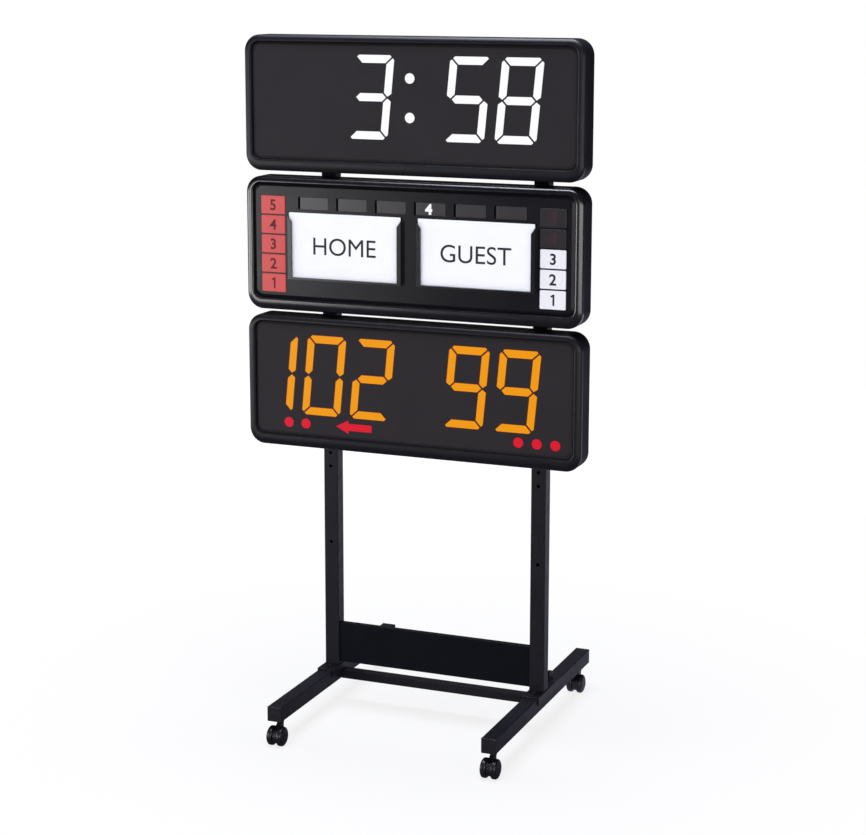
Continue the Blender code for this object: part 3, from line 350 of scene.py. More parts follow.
# Bumps that several finishes share: size, depth and strength
GRAIN = (0.0011, 0.00006, 0.35)
LENS_BUMPS = (0.0008, 0.00001, 0.2)
TILE_BUMPS = (0.0015, 0.00001, 0.2)
WELL_BUMPS = (0.0008, 0.00002, 0.3)
INK_BUMPS = (0.0006, 0.000006, 0.3)

# Name, colour on screen, roughness, specular level, mottle, polish or None, and then the bumps
FINISHES = {
    "steel": ("black_powder_coat", (22, 21, 29), 0.48, 0.25, (0.05, 0.10), (0.03, 0.05), GRAIN,
              (0.00025, 0.00001, 0.3)),
    "dark_steel": ("black_bracket_paint", (12, 12, 16), 0.45, 0.35, (0.03, 0.10), (0.03, 0.05), GRAIN),
    "plate": ("black_plate_paint", (10, 12, 20), 0.40, 0.15, (0.06, 0.10), (0.05, 0.04),
              (0.0011, 0.00004, 0.3)),
    "case": ("satin_black_case", (16, 15, 22), 0.42, 0.30, (0.08, 0.08), (0.05, 0.03),
             (0.0009, 0.00003, 0.25), (0.0002, 0.000008, 0.25)),
    "case_side": ("matt_black_case", (17, 16, 22), 0.62, 0.10, (0.08, 0.08), (0.05, 0.03),
                  (0.0009, 0.00004, 0.3), (0.0002, 0.00001, 0.3)),
    "gloss": ("polished_black_case", (13, 12, 18), 0.25, 0.8, (0.08, 0.08), (0.06, 0.015),
              (0.03, 0.00001, 0.3, 0.0)),
    "face": ("smoked_face_sheet", (41, 38, 41), 0.55, 0.12, (0.12, 0.05), (0.08, 0.03),
             (0.0007, 0.00001, 0.2)),
    "deep": ("polished_face_sheet", (15, 14, 21), 0.30, 0.25, (0.12, 0.06), (0.08, 0.03),
             (0.002, 0.000006, 0.2)),
    "channel": ("card_channel_plastic", (13, 13, 17), 0.26, 0.5, (0.02, 0.06), (0.04, 0.02),
                (0.0008, 0.000004, 0.2)),
    "moulded": ("moulded_black_plastic", (20, 20, 26), 0.42, 0.5, (0.015, 0.12), (0.01, 0.06),
                (0.0006, 0.00004, 0.35)),
    "well": ("lamp_well_black", (8, 8, 9), 0.7, 0.1, (0.01, 0.10), None, WELL_BUMPS),
    "red_well": ("red_lamp_well", (92, 24, 28), 0.6, 0.2, (0.01, 0.10), None, WELL_BUMPS),
    "tread": ("wheel_plastic", (18, 18, 24), 0.34, 0.5, (0.01, 0.15), (0.008, 0.08), (0.0012, 0.00005, 0.35),
              (0.0003, 0.00002, 0.3)),
    "white": ("white_lamp_lens", (90, 90, 92), 0.4, 0.3, (0.02, 0.02), None, LENS_BUMPS),
    "amber": ("amber_lamp_lens", (90, 40, 4), 0.4, 0.12, (0.02, 0.04), None, LENS_BUMPS),
    "red": ("red_lamp_lens", (90, 8, 16), 0.4, 0.12, (0.02, 0.04), None, LENS_BUMPS),
    "lamp_edge": ("lamp_lens_border", (60, 60, 62), 0.4, 0.2, (0.02, 0.06), None, LENS_BUMPS),
    "amber_edge": ("amber_lamp_surround", (72, 22, 10), 0.4, 0.2, (0.02, 0.06), None, LENS_BUMPS),
    "red_edge": ("red_lamp_surround", (70, 14, 24), 0.4, 0.2, (0.02, 0.06), None, LENS_BUMPS),
    "red_tile": ("red_tile_lens", (140, 48, 50), 0.34, 0.2, (0.02, 0.05), None, TILE_BUMPS),
    "white_tile": ("white_tile_lens", (188, 188, 194), 0.32, 0.4, (0.02, 0.03), None, TILE_BUMPS),
    "dark_tile": ("unlit_tile_lens", (40, 37, 40), 0.32, 0.35, (0.02, 0.08), None, TILE_BUMPS),
    "window": ("unlit_window_lens", (48, 45, 48), 0.30, 0.45, (0.02, 0.08), None, (0.0010, 0.00001, 0.2)),
    "red_ink": ("red_numeral_ink", (92, 22, 28), 0.5, 0.3, (0.004, 0.06), None, INK_BUMPS),
    "dark_ink": ("dark_numeral_ink", (36, 36, 42), 0.5, 0.3, (0.004, 0.06), None, INK_BUMPS),
    "faint_ink": ("unlit_numeral_ink", (60, 36, 39), 0.4, 0.3, (0.004, 0.06), None, INK_BUMPS),
    "card": ("white_card_sheet", (242, 243, 248), 0.55, 0.3, (0.05, 0.012), None, (0.0006, 0.00001, 0.25),
             (0.00015, 0.000004, 0.2)),
    "screw": ("blackened_screw_steel", (42, 42, 46), 0.38, 0.5, (0.002, 0.15), (0.002, 0.06),
              (0.0004, 0.00001, 0.3)),
    "brass": ("inlet_pin_brass", (196, 170, 110), 0.3, 0.5, (0.002, 0.1), None,
              (0.0005, 0.000005, 0.3, 2.0, (1.0, 6.0, 1.0))),
    "board": ("green_board_mask", (24, 92, 50), 0.45, 0.5, (0.006, 0.18, 1.0), None, (0.0008, 0.00003, 0.4)),
    "mark": ("white_switch_print", (226, 226, 226), 0.5, 0.5, (0.003, 0.04), None, (0.0004, 0.000005, 0.3)),
}
METALS = {"screw": 0.7, "brass": 1.0}

# What glows: colour, strength, and the pitch and ripple of the light sources behind it
LIGHTS = {
    "white": ((0.97, 0.97, 0.99), 0.90, 0.0116, 0.02),
    "amber": (linear(238, 155, 6), 0.90, 0.0116, 0.04),
    "red": (linear(218, 20, 44), 0.86, 0.0087, 0.04),
    "amber_edge": (linear(96, 28, 10), 0.5),
    "red_edge": (linear(96, 20, 34), 0.5),
    "red_tile": (linear(200, 82, 80), 0.60, 0.016, 0.02),
    "white_tile": ((0.80, 0.80, 0.83), 0.40, 0.016, 0.02),
}


def make_finishes():
    """Every material of the object, by its short name."""
    made = {}
    for key, (name, shade, roughness, specular, mottle, polish, *bumps) in FINISHES.items():
        finish = Finish(name, linear(*shade), roughness, METALS.get(key, 0.0), specular).mottle(*mottle)
        if polish:
            finish.polish(*polish)
        for layer in bumps:
            finish.relief(*layer)
        if key in LIGHTS:
            finish.glow(*LIGHTS[key])
        made[key] = finish.material
    return made


# Mesh helpers


def add_object(name, data):
    made = bpy.data.objects.new(name, data)
    bpy.context.scene.collection.objects.link(made)
    return made


def shade(mesh, sharp):
    """Smooth shading, apart from edges sharper than an angle."""
    mesh.shade_smooth()
    mesh.set_sharp_from_angle(angle=math.radians(sharp))


def finish_mesh(bm, name, materials, sharp=32.0):
    """Turns a bmesh into an object whose faces point outwards."""
    bmesh.ops.recalc_face_normals(bm, faces=bm.faces)
    mesh = bpy.data.meshes.new(name)
    bm.to_mesh(mesh)
    bm.free()
    for material in materials:
        mesh.materials.append(material)
    shade(mesh, sharp)
    return add_object(name, mesh)


def settle(piece):
    """Turns a piece and its modifiers into a plain mesh."""
    bpy.context.view_layer.update()
    evaluated = piece.evaluated_get(bpy.context.evaluated_depsgraph_get())
    mesh = bpy.data.meshes.new_from_object(evaluated)
    piece.modifiers.clear()
    piece.data = mesh
    mesh.name = piece.name
    return piece


def ring_at(outline, value, axis=1):
    """An outline's points, set at one value along an axis, which is Y unless given."""
    return [(*point[:axis], value, *point[axis:]) for point in outline]


def join_rings(bm, rings, closed=False, slot=0, bands=None):
    """Bridges rings of equal counts, and caps both ends unless the rings close on themselves."""
    rows = [[bm.verts.new(point) for point in ring] for ring in rings]
    pairs = list(zip(rows, rows[1:]))
    if closed:
        pairs.append((rows[-1], rows[0]))
    else:
        for row in (rows[0], rows[-1]):
            bm.faces.new(row).material_index = slot
    for band, (first, second) in enumerate(pairs):
        count = len(first)
        for i in range(count):
            j = (i + 1) % count
            face = bm.faces.new((first[i], first[j], second[j], second[i]))
            face.material_index = (bands or {}).get(band, slot)


def ring_piece(name, rings, materials, **how):
    """An object made of one run of bridged rings."""
    bm = bmesh.new()
    join_rings(bm, rings, **how)
    return finish_mesh(bm, name, materials)


def extrude(bm, outline, depths, slot=0):
    """A closed prism between two depths, from one outline of (x, z) points."""
    join_rings(bm, [ring_at(outline, y) for y in depths], slot=slot)


def quarter_arc(steps):
    """Sine and cosine at even steps of a quarter turn."""
    turns = [math.radians(90 * step / steps) for step in range(steps + 1)]
    return [(math.sin(turn), math.cos(turn)) for turn in turns]


def rounded_rectangle(left, right, low, high, radius, steps=CORNER_STEPS):
    """Points round a rectangle with round corners, anticlockwise from the right."""
    corners = ((right - radius, high - radius), (left + radius, high - radius))
    corners += ((left + radius, low + radius), (right - radius, low + radius))
    points = []
    for quarter, (x, z) in enumerate(corners):
        for step in range(steps + 1):
            angle = math.radians(90 * (quarter + step / steps))
            points.append((x + radius * math.cos(angle), z + radius * math.sin(angle)))
    return points


def box_outline(x, z, half_size, radius, steps):
    """A rounded rectangle about its middle."""
    wide, tall = half_size
    return rounded_rectangle(x - wide, x + wide, z - tall, z + tall, radius, steps)


def round_outline(x, z, radius=DOT_RADIUS, sides=DOT_SIDES):
    turns = [2 * math.pi * i / sides for i in range(sides)]
    return [(x + radius * math.cos(turn), z + radius * math.sin(turn)) for turn in turns]


def panel_ring(inset, depth, middle, corner):
    """A ring round a panel, at an inset from its outside and a depth behind its front."""
    side, top, bottom = inset if isinstance(inset, tuple) else (inset,) * 3
    right, low, high = PANEL_HALF_WIDTH - side, bottom - PANEL_HALF_HEIGHT, PANEL_HALF_HEIGHT - top
    outline = rounded_rectangle(side - PANEL_HALF_WIDTH, right, low, high, corner)
    return [(x, PANEL_FRONT + depth, middle + z) for x, z in outline]


def corners_of(outline):
    """Each point of a polygon between its neighbours."""
    count = len(outline)
    for i in range(count):
        yield tuple(Vector(outline[k % count]) for k in (i - 1, i, i + 1))


def rounded(outline, radius, steps=3):
    """A polygon with its corners rounded, as (x, z) points."""
    points = []
    for before, here, after in corners_of(outline):
        one, two = (before - here).normalized(), (after - here).normalized()
        half = one.angle(two) / 2
        reach = min(radius / math.tan(half), 0.45 * (before - here).length, 0.45 * (after - here).length)
        start, end = here + one * reach, here + two * reach
        for step in range(steps + 1):
            t = step / steps
            points.append(tuple(start * (1 - t) ** 2 + here * 2 * t * (1 - t) + end * t**2))
    return points


def grown(outline, margin):
    """A polygon moved out by a margin."""
    area = sum(a[0] * b[1] - b[0] * a[1] for a, b in zip([outline[-1], *outline], outline))
    turn = 1.0 if area > 0 else -1.0
    result = []
    for before, here, after in corners_of(outline):
        first, second = (here - before).normalized(), (after - here).normalized()
        normals = [Vector((edge.y, -edge.x)) * turn for edge in (first, second)]
        bisector = (normals[0] + normals[1]).normalized()
        result.append(tuple(here + bisector * (margin / max(0.3, bisector.dot(normals[0])))))
    return result


def cut(target, cutters, sharp=32.0):
    """Cuts closed shapes, held in one bmesh, out of a piece."""
    tool = finish_mesh(cutters, target.name + "_cutter", [])
    modifier = target.modifiers.new("cut", "BOOLEAN")
    modifier.object = tool
    modifier.solver = "EXACT"
    settle(target)
    bpy.data.objects.remove(tool)
    shade(target.data, sharp)


def place_piece(piece, slot, *nodes, body="frame"):
    """Gives a piece its shading normals and its body, and hides the solids that it stands for; the slot is
    not used.
    """
    normals = piece.modifiers.new("face_weighted_normals", "WEIGHTED_NORMAL")
    normals.keep_sharp = True
    settle(piece)
    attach(piece, body)
    if nodes:
        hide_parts(*nodes)


def eased_copy(node, slot, material, width=0.001, segments=3, cutters=None, body="frame"):
    """A finer copy of a solid with its edges rounded over, after any cut."""
    bm = bmesh.new()
    bm.from_mesh(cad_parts[node].data)
    bmesh.ops.remove_doubles(bm, verts=bm.verts, dist=1e-5)
    bmesh.ops.dissolve_limit(bm, angle_limit=math.radians(1.0), verts=bm.verts, edges=bm.edges)
    bmesh.ops.connect_verts_concave(bm, faces=bm.faces)
    piece = finish_mesh(bm, node + "_shell", [material], sharp=40.0)
    if cutters:
        cut(piece, cutters, sharp=40.0)
    bevel = piece.modifiers.new("eased_edges", "BEVEL")
    bevel.width = width
    bevel.segments = segments
    bevel.limit_method = "ANGLE"
    bevel.angle_limit = math.radians(40)
    bevel.use_clamp_overlap = True
    bevel.harden_normals = True
    settle(piece)
    place_piece(piece, slot, node, body=body)


# Panel cases


def rim_sizes(panel):
    """The rim's widths and its shoulder's widths; over the cards the rim leaves room for them to rise."""
    room = CARD_ROOM if panel == "middle" else 0.0
    return [(sides, top - room, bottom) for sides, top, bottom in (RIM_OPENING, RIM_SHOULDER)]


def make_bezel(panel, material, side):
    """The rim: a bullnose, a narrow crest and a shoulder whose foot has the finish of the side."""
    middle = PANEL_MIDDLES[panel]
    opening, shoulder = rim_sizes(panel)
    rings = [panel_ring(0.0, depth, middle, PANEL_CORNER) for depth in (BEZEL_DEPTH, RIM_ROUND_END)]
    for sine, cosine in quarter_arc(RIM_STEPS):
        inset = tuple(value * (1 - cosine) for value in RIM_ROUND)
        rings.append(panel_ring(inset, RIM_ROUND_DEPTH * (1 - sine), middle, PANEL_CORNER - inset[1]))
    for sine, cosine in quarter_arc(RIM_STEPS):
        inset = tuple(value - drawn * (1 - sine) for value, drawn in zip(opening, shoulder))
        corner = RIM_INNER_CORNER + shoulder[0] * (1 - sine)
        rings.append(panel_ring(inset, RIM_DROP * (1 - cosine), middle, corner))
    foot = len(rings) - 1
    matt = (0, *range(foot - MATT_SHOULDER_BANDS, foot))
    rings.append(panel_ring(opening, RIM_LIP_BACK, middle, RIM_INNER_CORNER))
    for depth in (RIM_LIP_BACK, BEZEL_DEPTH):
        rings.append(panel_ring(CASE_WALL, depth, middle, PANEL_CORNER - CASE_WALL))
    bands = {band: 1 for band in matt}
    piece = ring_piece(panel + "_bezel_rim", rings, [material, side], closed=True, bands=bands)
    place_piece(piece, "case_plastic", panel + "_bezel")


def make_rear_cover(panel, material):
    """The rear shell with a rounded back edge, a shadow line to the bezel and slotted vents."""
    middle = PANEL_MIDDLES[panel]
    start = BEZEL_DEPTH + GAP
    lip = CASE_WALL + GAP
    rows = []
    for sine, cosine in quarter_arc(COVER_EDGE_STEPS):
        inset = COVER_EDGE * (1 - sine)
        rows.append((inset, CASE_DEPTH - COVER_EDGE * (1 - cosine), PANEL_CORNER - inset))
    rows += [
        (0.0, start + SHADOW_DEPTH, PANEL_CORNER),
        (SHADOW_INSET, start, PANEL_CORNER - SHADOW_INSET),
        (lip, start, PANEL_CORNER - lip),
        (lip, start - COVER_LIP, PANEL_CORNER - lip),
        (lip + CASE_WALL, start - COVER_LIP, PANEL_CORNER - lip - CASE_WALL),
        (lip + CASE_WALL, CASE_DEPTH - COVER_SHEET, PANEL_CORNER - lip - CASE_WALL),
    ]
    rings = [panel_ring(inset, depth, middle, corner) for inset, depth, corner in rows]
    piece = ring_piece(panel + "_rear_shell", rings, [material])
    slots = bmesh.new()
    for side in (-1, 1):
        for row in range(VENT_ROWS):
            z = middle + VENT_RISE + VENT_PITCH * row
            extrude(slots, box_outline(side * VENT_X, z, VENT_HALF_SIZE, VENT_CORNER, 5), COVER_CUT)
    if panel == "lower":
        low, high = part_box("power_inlet")
        for x, half_size in ((INLET_X, INLET_HALF_SIZE), (SWITCH_X, SWITCH_HALF_SIZE)):
            extrude(slots, box_outline(x, (low.z + high.z) / 2, half_size, OPENING_CORNER, 3), COVER_CUT)
    cut(piece, slots)
    place_piece(piece, "case_plastic", panel + "_rear_cover")


def make_face(panel, windows, material):
    """The smoked face: a flat with softened edges, sloping borders, and windows for the lit lamps."""
    edge = tuple(value + GAP for value in rim_sizes(panel)[0])
    corner = RIM_INNER_CORNER
    soft = FACE_KNEE_SOFTNESS
    rows = []
    for way in FACE_KNEE:
        inset = tuple(flat + (rim - flat) * way for flat, rim in zip(FACE_FLAT, edge))
        drop = (math.hypot(way, soft) - soft) / (math.hypot(1.0, soft) - soft)
        depth = FACE_DEPTH + drop * (FACE_GROOVE - FACE_DEPTH)
        rows.append((inset, depth, FACE_CORNER + way * (corner - FACE_CORNER)))
    flange = tuple(value - FACE_FLANGE for value in edge)
    inner = tuple(value + FACE_SHEET for value in edge)
    inner_flat = tuple(value + FACE_SHEET / 2 for value in FACE_FLAT)
    rows += [
        (edge, FACE_GROOVE + GROOVE_EASE, corner),
        (edge, FLANGE_FRONT, corner),
        (flange, FLANGE_FRONT, corner + FACE_FLANGE),
        (flange, FLANGE_FRONT + FACE_SHEET, corner + FACE_FLANGE),
        (inner, FLANGE_FRONT + FACE_SHEET, corner - FACE_SHEET),
        (inner, FACE_GROOVE + FACE_SHEET / 2, corner - FACE_SHEET),
        (inner_flat, FACE_DEPTH + FACE_SHEET, FACE_CORNER - FACE_SHEET / 2),
    ]
    rings = [panel_ring(inset, depth, PANEL_MIDDLES[panel], corner) for inset, depth, corner in rows]
    piece = ring_piece(panel + "_smoked_face", rings, [material])
    holes = bmesh.new()
    for outline in windows:
        extrude(holes, outline, FACE_CUT)
    cut(piece, holes)
    place_piece(piece, "smoked_face", panel + "_face")


# Lamps


def segment_outlines():
    """The seven strokes of a digit as (x, z) points about its centre, before it is slanted."""
    half_width, half_height, stroke = DIGIT_WIDTH / 2, DIGIT_HEIGHT / 2, DIGIT_STROKE
    mitre = MITRE_GAP / math.sqrt(2)
    near, far = (DIGIT_CORNER + mitre) / 2, (DIGIT_CORNER - mitre) / 2
    top_half = [(DIGIT_CORNER, 0.0), (near, far), (stroke + mitre, stroke)]
    top = [(half_width - a, half_height - b) for a, b in top_half]
    top += [(-x, z) for x, z in reversed(top)]
    corner = ((0.0, DIGIT_CORNER), (far, near), (stroke, stroke + mitre))
    side = [(half_width - a, half_height - b) for a, b in corner]
    side += [
        (half_width - stroke, stroke - DIGIT_TIP + 2 * mitre),
        (half_width - DIGIT_TIP + 2 * mitre - MITRE_GAP / 2, MITRE_GAP / 2),
        (half_width, DIGIT_TIP - 2 * mitre),
    ]
    bar = [(half_width - DIGIT_TIP, 0.0), (half_width - DIGIT_TIP - stroke / 2, stroke / 2)]
    bar += [(-x, z) for x, z in reversed(bar)]
    bar += [(x, -z) for x, z in (bar[2], bar[1])]
    return {
        "a": top,
        "b": side,
        "c": [(x, -z) for x, z in side],
        "d": [(x, -z) for x, z in top],
        "e": [(-x, -z) for x, z in side],
        "f": [(-x, z) for x, z in side],
        "g": bar,
    }


def digit_lamps(value, x, z, shift=0.0):
    """The lit strokes of a digit; shift brings a 1 from the digit's right edge to its middle."""
    shapes = segment_outlines()
    return [
        rounded([(x + u + shift + DIGIT_SLANT * v, z + v) for u, v in shapes[letter]], LAMP_CORNER)
        for letter in SEGMENTS_OF[value]
    ]


def make_lamps(node, outlines, finish, colour, slanted, surround):
    """Lenses with eased edges that stand in the face's windows, on a block behind the face."""
    low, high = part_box(node)
    lean = DIGIT_SLANT * (high.z - low.z) if slanted else 0.0
    block = [(low.x, low.z), (high.x - lean, low.z), (high.x, high.z), (low.x + lean, high.z)]
    bm = bmesh.new()
    extrude(bm, block, (LAMP_BACK, high.y), slot=1)
    front = FACE_Y - LAMP_PROUD
    for outline in outlines:
        rings = [ring_at(grown(outline, -inset), front) for inset in (LAMP_BORDER, LAMP_EDGE)]
        rings.append(ring_at(grown(outline, -LAMP_EDGE * 0.3), front + LAMP_EDGE * 0.3))
        rings.append(ring_at(outline, front + LAMP_EDGE))
        if surround:
            rim = grown(outline, SURROUND_WIDTH)
            rings += [ring_at(rim, FACE_Y - depth) for depth in (SURROUND_PROUD, SURROUND_BACK)]
            rings.append(ring_at(outline, FACE_Y - SURROUND_BACK))
        rings.append(ring_at(outline, LAMP_BACK))
        join_rings(bm, rings, bands={band: 2 for band in range(len(rings) - 1)})
    border = finish[surround or "lamp_edge"]
    piece = finish_mesh(bm, node + "_lenses", [finish[colour], finish["well"], border])
    place_piece(piece, colour + "_lamp", node)


def make_displays(finish):
    """Digits, colon, dots and arrow, and the faces with their windows."""
    windows = {"top": [], "middle": [], "lower": []}

    def add(panel, node, outlines, colour, slanted=True, surround=None):
        make_lamps(node, outlines, finish, colour, slanted, surround)
        windows[panel] += [grown(outline, GAP) for outline in outlines]

    places = [x + step for x in UNITS_X for step in (-TENS_TO_UNITS, 0.0)]
    clock_z = PANEL_MIDDLES["top"] + DIGIT_RISE
    clock = ("tens_of_minutes", "minutes", "tens_of_seconds", "seconds")
    for name, value, x in zip(clock, " 358", places):
        add("top", "clock_" + name, digit_lamps(value, x, clock_z), "white")
    colon = [round_outline(0.0, clock_z + side * COLON_SPACING / 2) for side in (-1, 1)]
    add("top", "clock_colon", colon, "white", slanted=False)
    score_z = PANEL_MIDDLES["lower"] + DIGIT_RISE
    score = ("home_tens", "home_units", "guest_tens", "guest_units")
    for name, value, x in zip(score, "0299", places):
        add("lower", name, digit_lamps(value, x, score_z), "amber", surround="amber_edge")
    one = digit_lamps("1", places[0] - ONE_OFFSET, score_z, ONE_SHIFT)
    add("lower", "home_hundreds", one, "amber", surround="amber_edge")
    add("lower", "guest_hundreds", [], "amber")
    dots_z = PANEL_MIDDLES["lower"] + DOT_RISE
    for node, side, lit in (("home_foul_dots", -1, (0, 1)), ("guest_foul_dots", 1, (-1, 0, 1))):
        dots = [round_outline(side * DOT_CENTRE_X + place * DOT_PITCH, dots_z) for place in lit]
        add("lower", node, dots, "red", slanted=False, surround="red_edge")
    upper = [(ARROW_NECK, ARROW_HEAD / 2), (ARROW_NECK, ARROW_SHAFT / 2), (ARROW_TAIL, ARROW_SHAFT / 2)]
    arrow = [(ARROW_TIP, 0.0)] + upper + [(x, -z) for x, z in reversed(upper)]
    arrow = rounded([(x, dots_z + z) for x, z in arrow], ARROW_CORNER)
    add("lower", "possession_arrow", [arrow], "red", slanted=False, surround="red_edge")
    windows["middle"] += make_foul_tiles(finish)
    windows["middle"] += make_period_windows(finish)
    for panel, material in (("top", "face"), ("lower", "face"), ("middle", "deep")):
        make_face(panel, windows[panel], finish[material])


def make_numeral(text, height, x, z, y, name, material, weight):
    """A generic numeral or word as a thin plate, centred at x and z, with its front at y."""
    if text == "1":
        outline = [(x + u * height, z + (v - 0.5) * height) for u, v in NUMERAL_ONE]
        return ring_piece(name, [ring_at(outline, depth) for depth in (y, y + INK_SHEET)], [material])
    curve = bpy.data.curves.new(name, "FONT")
    curve.body = text
    curve.extrude = INK_SHEET / 2
    curve.offset = weight
    curve.resolution_u = 6
    letter = add_object(name, curve)
    bpy.context.view_layer.update()
    mesh = bpy.data.meshes.new_from_object(letter.evaluated_get(bpy.context.evaluated_depsgraph_get()))
    bpy.data.objects.remove(letter)
    low, high = (Vector([pick(v.co[i] for v in mesh.vertices) for i in range(3)]) for pick in (min, max))
    scale = height / (high.y - low.y)
    centre = (low + high) / 2
    half = INK_SHEET / 2
    for vertex in mesh.vertices:
        across, up, out = vertex.co - centre
        vertex.co = (x + across * scale, y + half - math.copysign(half, out), z + up * scale)
    mesh.name = name
    mesh.materials.clear()
    mesh.materials.append(material)
    return add_object(name, mesh)


def start_block(node, slot):
    """Starts a lamp strip with its block behind the face."""
    low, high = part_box(node)
    bm = bmesh.new()
    outline = rounded_rectangle(low.x, high.x, low.z, high.z, BLOCK_CORNER, 3)
    extrude(bm, outline, (LAMP_BACK, high.y), slot=slot)
    return bm


def soft_tile(bm, left, right, z, tall, proud, slot, corner):
    """A lamp tile with rounded corners and a softened front edge; gives back its window."""
    rings = []
    for sine, cosine in quarter_arc(4):
        inset = TILE_EDGE * (1 - sine)
        depth = min(TILE_EDGE, proud) * (1 - cosine)
        low, high = z - tall / 2 + inset, z + tall / 2 - inset
        outline = rounded_rectangle(left + inset, right - inset, low, high, corner - inset, 5)
        rings.append(ring_at(outline, FACE_Y - proud + depth))
    outline = rounded_rectangle(left, right, z - tall / 2, z + tall / 2, corner, 5)
    rings.append(ring_at(outline, LAMP_BACK))
    join_rings(bm, rings, slot=slot)
    return grown(outline, GAP)


def make_foul_tiles(finish):
    """Five numbered tiles at each side; gives back their windows."""
    windows = []
    middle = PANEL_MIDDLES["middle"] + TILE_RISE
    front = FACE_Y - TILE_PROUD - INK_LIFT
    for side, sign, colour, ink, gap in (
        ("home", -1, "red", "red_ink", "red_well"), ("guest", 1, "white", "dark_ink", "well")
    ):
        x = sign * TILE_X
        bm = start_block(side + "_foul_tiles", 2)
        marks = []
        for row in range(5):
            z = middle + (row - 2) * TILE_PITCH
            dark = side == "guest" and row > 2
            left, right = x - TILE_WIDTH / 2, x + TILE_WIDTH / 2
            windows.append(soft_tile(bm, left, right, z, TILE_HEIGHT, TILE_PROUD, int(dark), TILE_CORNER))
            name = f"{side}_tile_numeral_{row + 1}"
            mark = finish["faint_ink" if dark else ink]
            where = (TILE_NUMERAL_HEIGHT, x, z, front)
            marks.append(make_numeral(str(row + 1), *where, name, mark, TILE_NUMERAL_WEIGHT))
        lenses = [finish[colour + "_tile"], finish["dark_tile"], finish[gap]]
        piece = finish_mesh(bm, side + "_tile_lenses", lenses)
        place_piece(piece, colour + "_lamp", side + "_foul_tiles")
        for mark in marks:
            place_piece(mark, "black_plastic")
    return windows


def make_period_windows(finish):
    """Six windows in a row over the cards, each with a dark slit at its left; the fourth is lit."""
    windows = []
    middle = PANEL_MIDDLES["middle"] + WINDOW_RISE
    low, high = middle - WINDOW_HEIGHT / 2, middle + WINDOW_HEIGHT / 2
    bm = start_block("period_windows", 1)
    for place in range(6):
        x = (place - 2.5) * WINDOW_PITCH
        left, right = x - WINDOW_WIDTH / 2, x + WINDOW_WIDTH / 2
        start = left + WINDOW_SLIT
        soft_tile(bm, start, right, middle, WINDOW_HEIGHT, LAMP_PROUD, 0, WINDOW_LENS_CORNER)
        windows.append(rounded_rectangle(left - GAP, right + GAP, low - GAP, high + GAP, WINDOW_CORNER, 4))
    piece = finish_mesh(bm, "period_lenses", [finish["window"], finish["well"]])
    place_piece(piece, "period_window", "period_windows")
    where = (PERIOD_NUMERAL_HEIGHT, PERIOD_NUMERAL_X, middle, FACE_Y - LAMP_PROUD - INK_LIFT)
    lit = make_numeral("4", *where, "period_numeral", finish["white"], PERIOD_NUMERAL_WEIGHT)
    place_piece(lit, "white_lamp")
    return windows


# Name cards


def make_card_holder(side, material):
    """The holder, whose lips have slanting top ends that lead the card in."""
    node = side + "_card_holder"
    low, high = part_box(node)
    card_low, card_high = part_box(side + "_name_card")
    top = high.z + CUT_PAST * HOLDER_SLANT
    slants = bmesh.new()
    for inner, outer in ((card_high.x - HOLDER_LIP, high.x), (card_low.x + HOLDER_LIP, low.x)):
        way = math.copysign(CUT_PAST, outer - inner)
        foot = high.z - HOLDER_SLANT * abs(outer - inner) - CUT_PAST * HOLDER_SLANT
        outline = [(inner - way, foot), (outer + way, top), (inner - way, top)]
        extrude(slants, outline, (low.y - CUT_PAST, card_low.y - GAP / 2))
    eased_copy(node, "smoked_face", material, width=0.0008, cutters=slants)


def make_name_card(side, finish):
    """A white card with rounded corners and a generic word on it."""
    node = side + "_name_card"
    low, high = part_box(node)
    rings = []
    for depth, inset in ((0.0, CARD_EDGE), (CARD_EDGE, 0.0), (high.y - low.y, 0.0)):
        edges = (low.x + inset, high.x - inset, low.z + inset, high.z - inset)
        rings.append(ring_at(rounded_rectangle(*edges, CARD_CORNER, 4), low.y + depth))
    piece = ring_piece(side + "_card_sheet", rings, [finish["card"]])
    place_piece(piece, "name_card", node, body=side + "_card")
    middle = (low + high) / 2
    where = (CARD_WORD_HEIGHT, middle.x, middle.z, low.y - INK_LIFT)
    word = make_numeral(side.upper(), *where, side + "_card_word", finish["dark_ink"], CARD_WORD_WEIGHT)
    place_piece(word, "black_plastic", body=side + "_card")


# Stand


def make_tube(node, material, axis, corner=0.0025, wall=0.002, holes=()):
    """A square tube along an axis, open at both ends, with rounded edges and holes drilled along Y."""
    low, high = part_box(node)
    u, v = (i for i in range(3) if i != axis)
    rings = []
    for value, inset in ((low[axis], 0.0), (high[axis], 0.0), (high[axis], wall), (low[axis], wall)):
        edges = (low[u] + inset, high[u] - inset, low[v] + inset, high[v] - inset)
        outline = rounded_rectangle(*edges, max(corner - inset, TUBE_INNER_CORNER), 5)
        rings.append(ring_at(outline, value, axis))
    piece = ring_piece(node + "_tube", rings, [material], closed=True)
    if holes:
        drills = bmesh.new()
        turn = Vector((0, 0, 1)).rotation_difference(Vector((0, 1, 0))).to_matrix().to_4x4()
        drill = {"radius1": POST_HOLE_RADIUS, "radius2": POST_HOLE_RADIUS, "depth": POST_HOLE_REACH}
        for centre in holes:
            place = Matrix.Translation(centre) @ turn
            bmesh.ops.create_cone(drills, cap_ends=True, segments=24, matrix=place, **drill)
        cut(piece, drills)
    place_piece(piece, "powder_coated_steel", node)


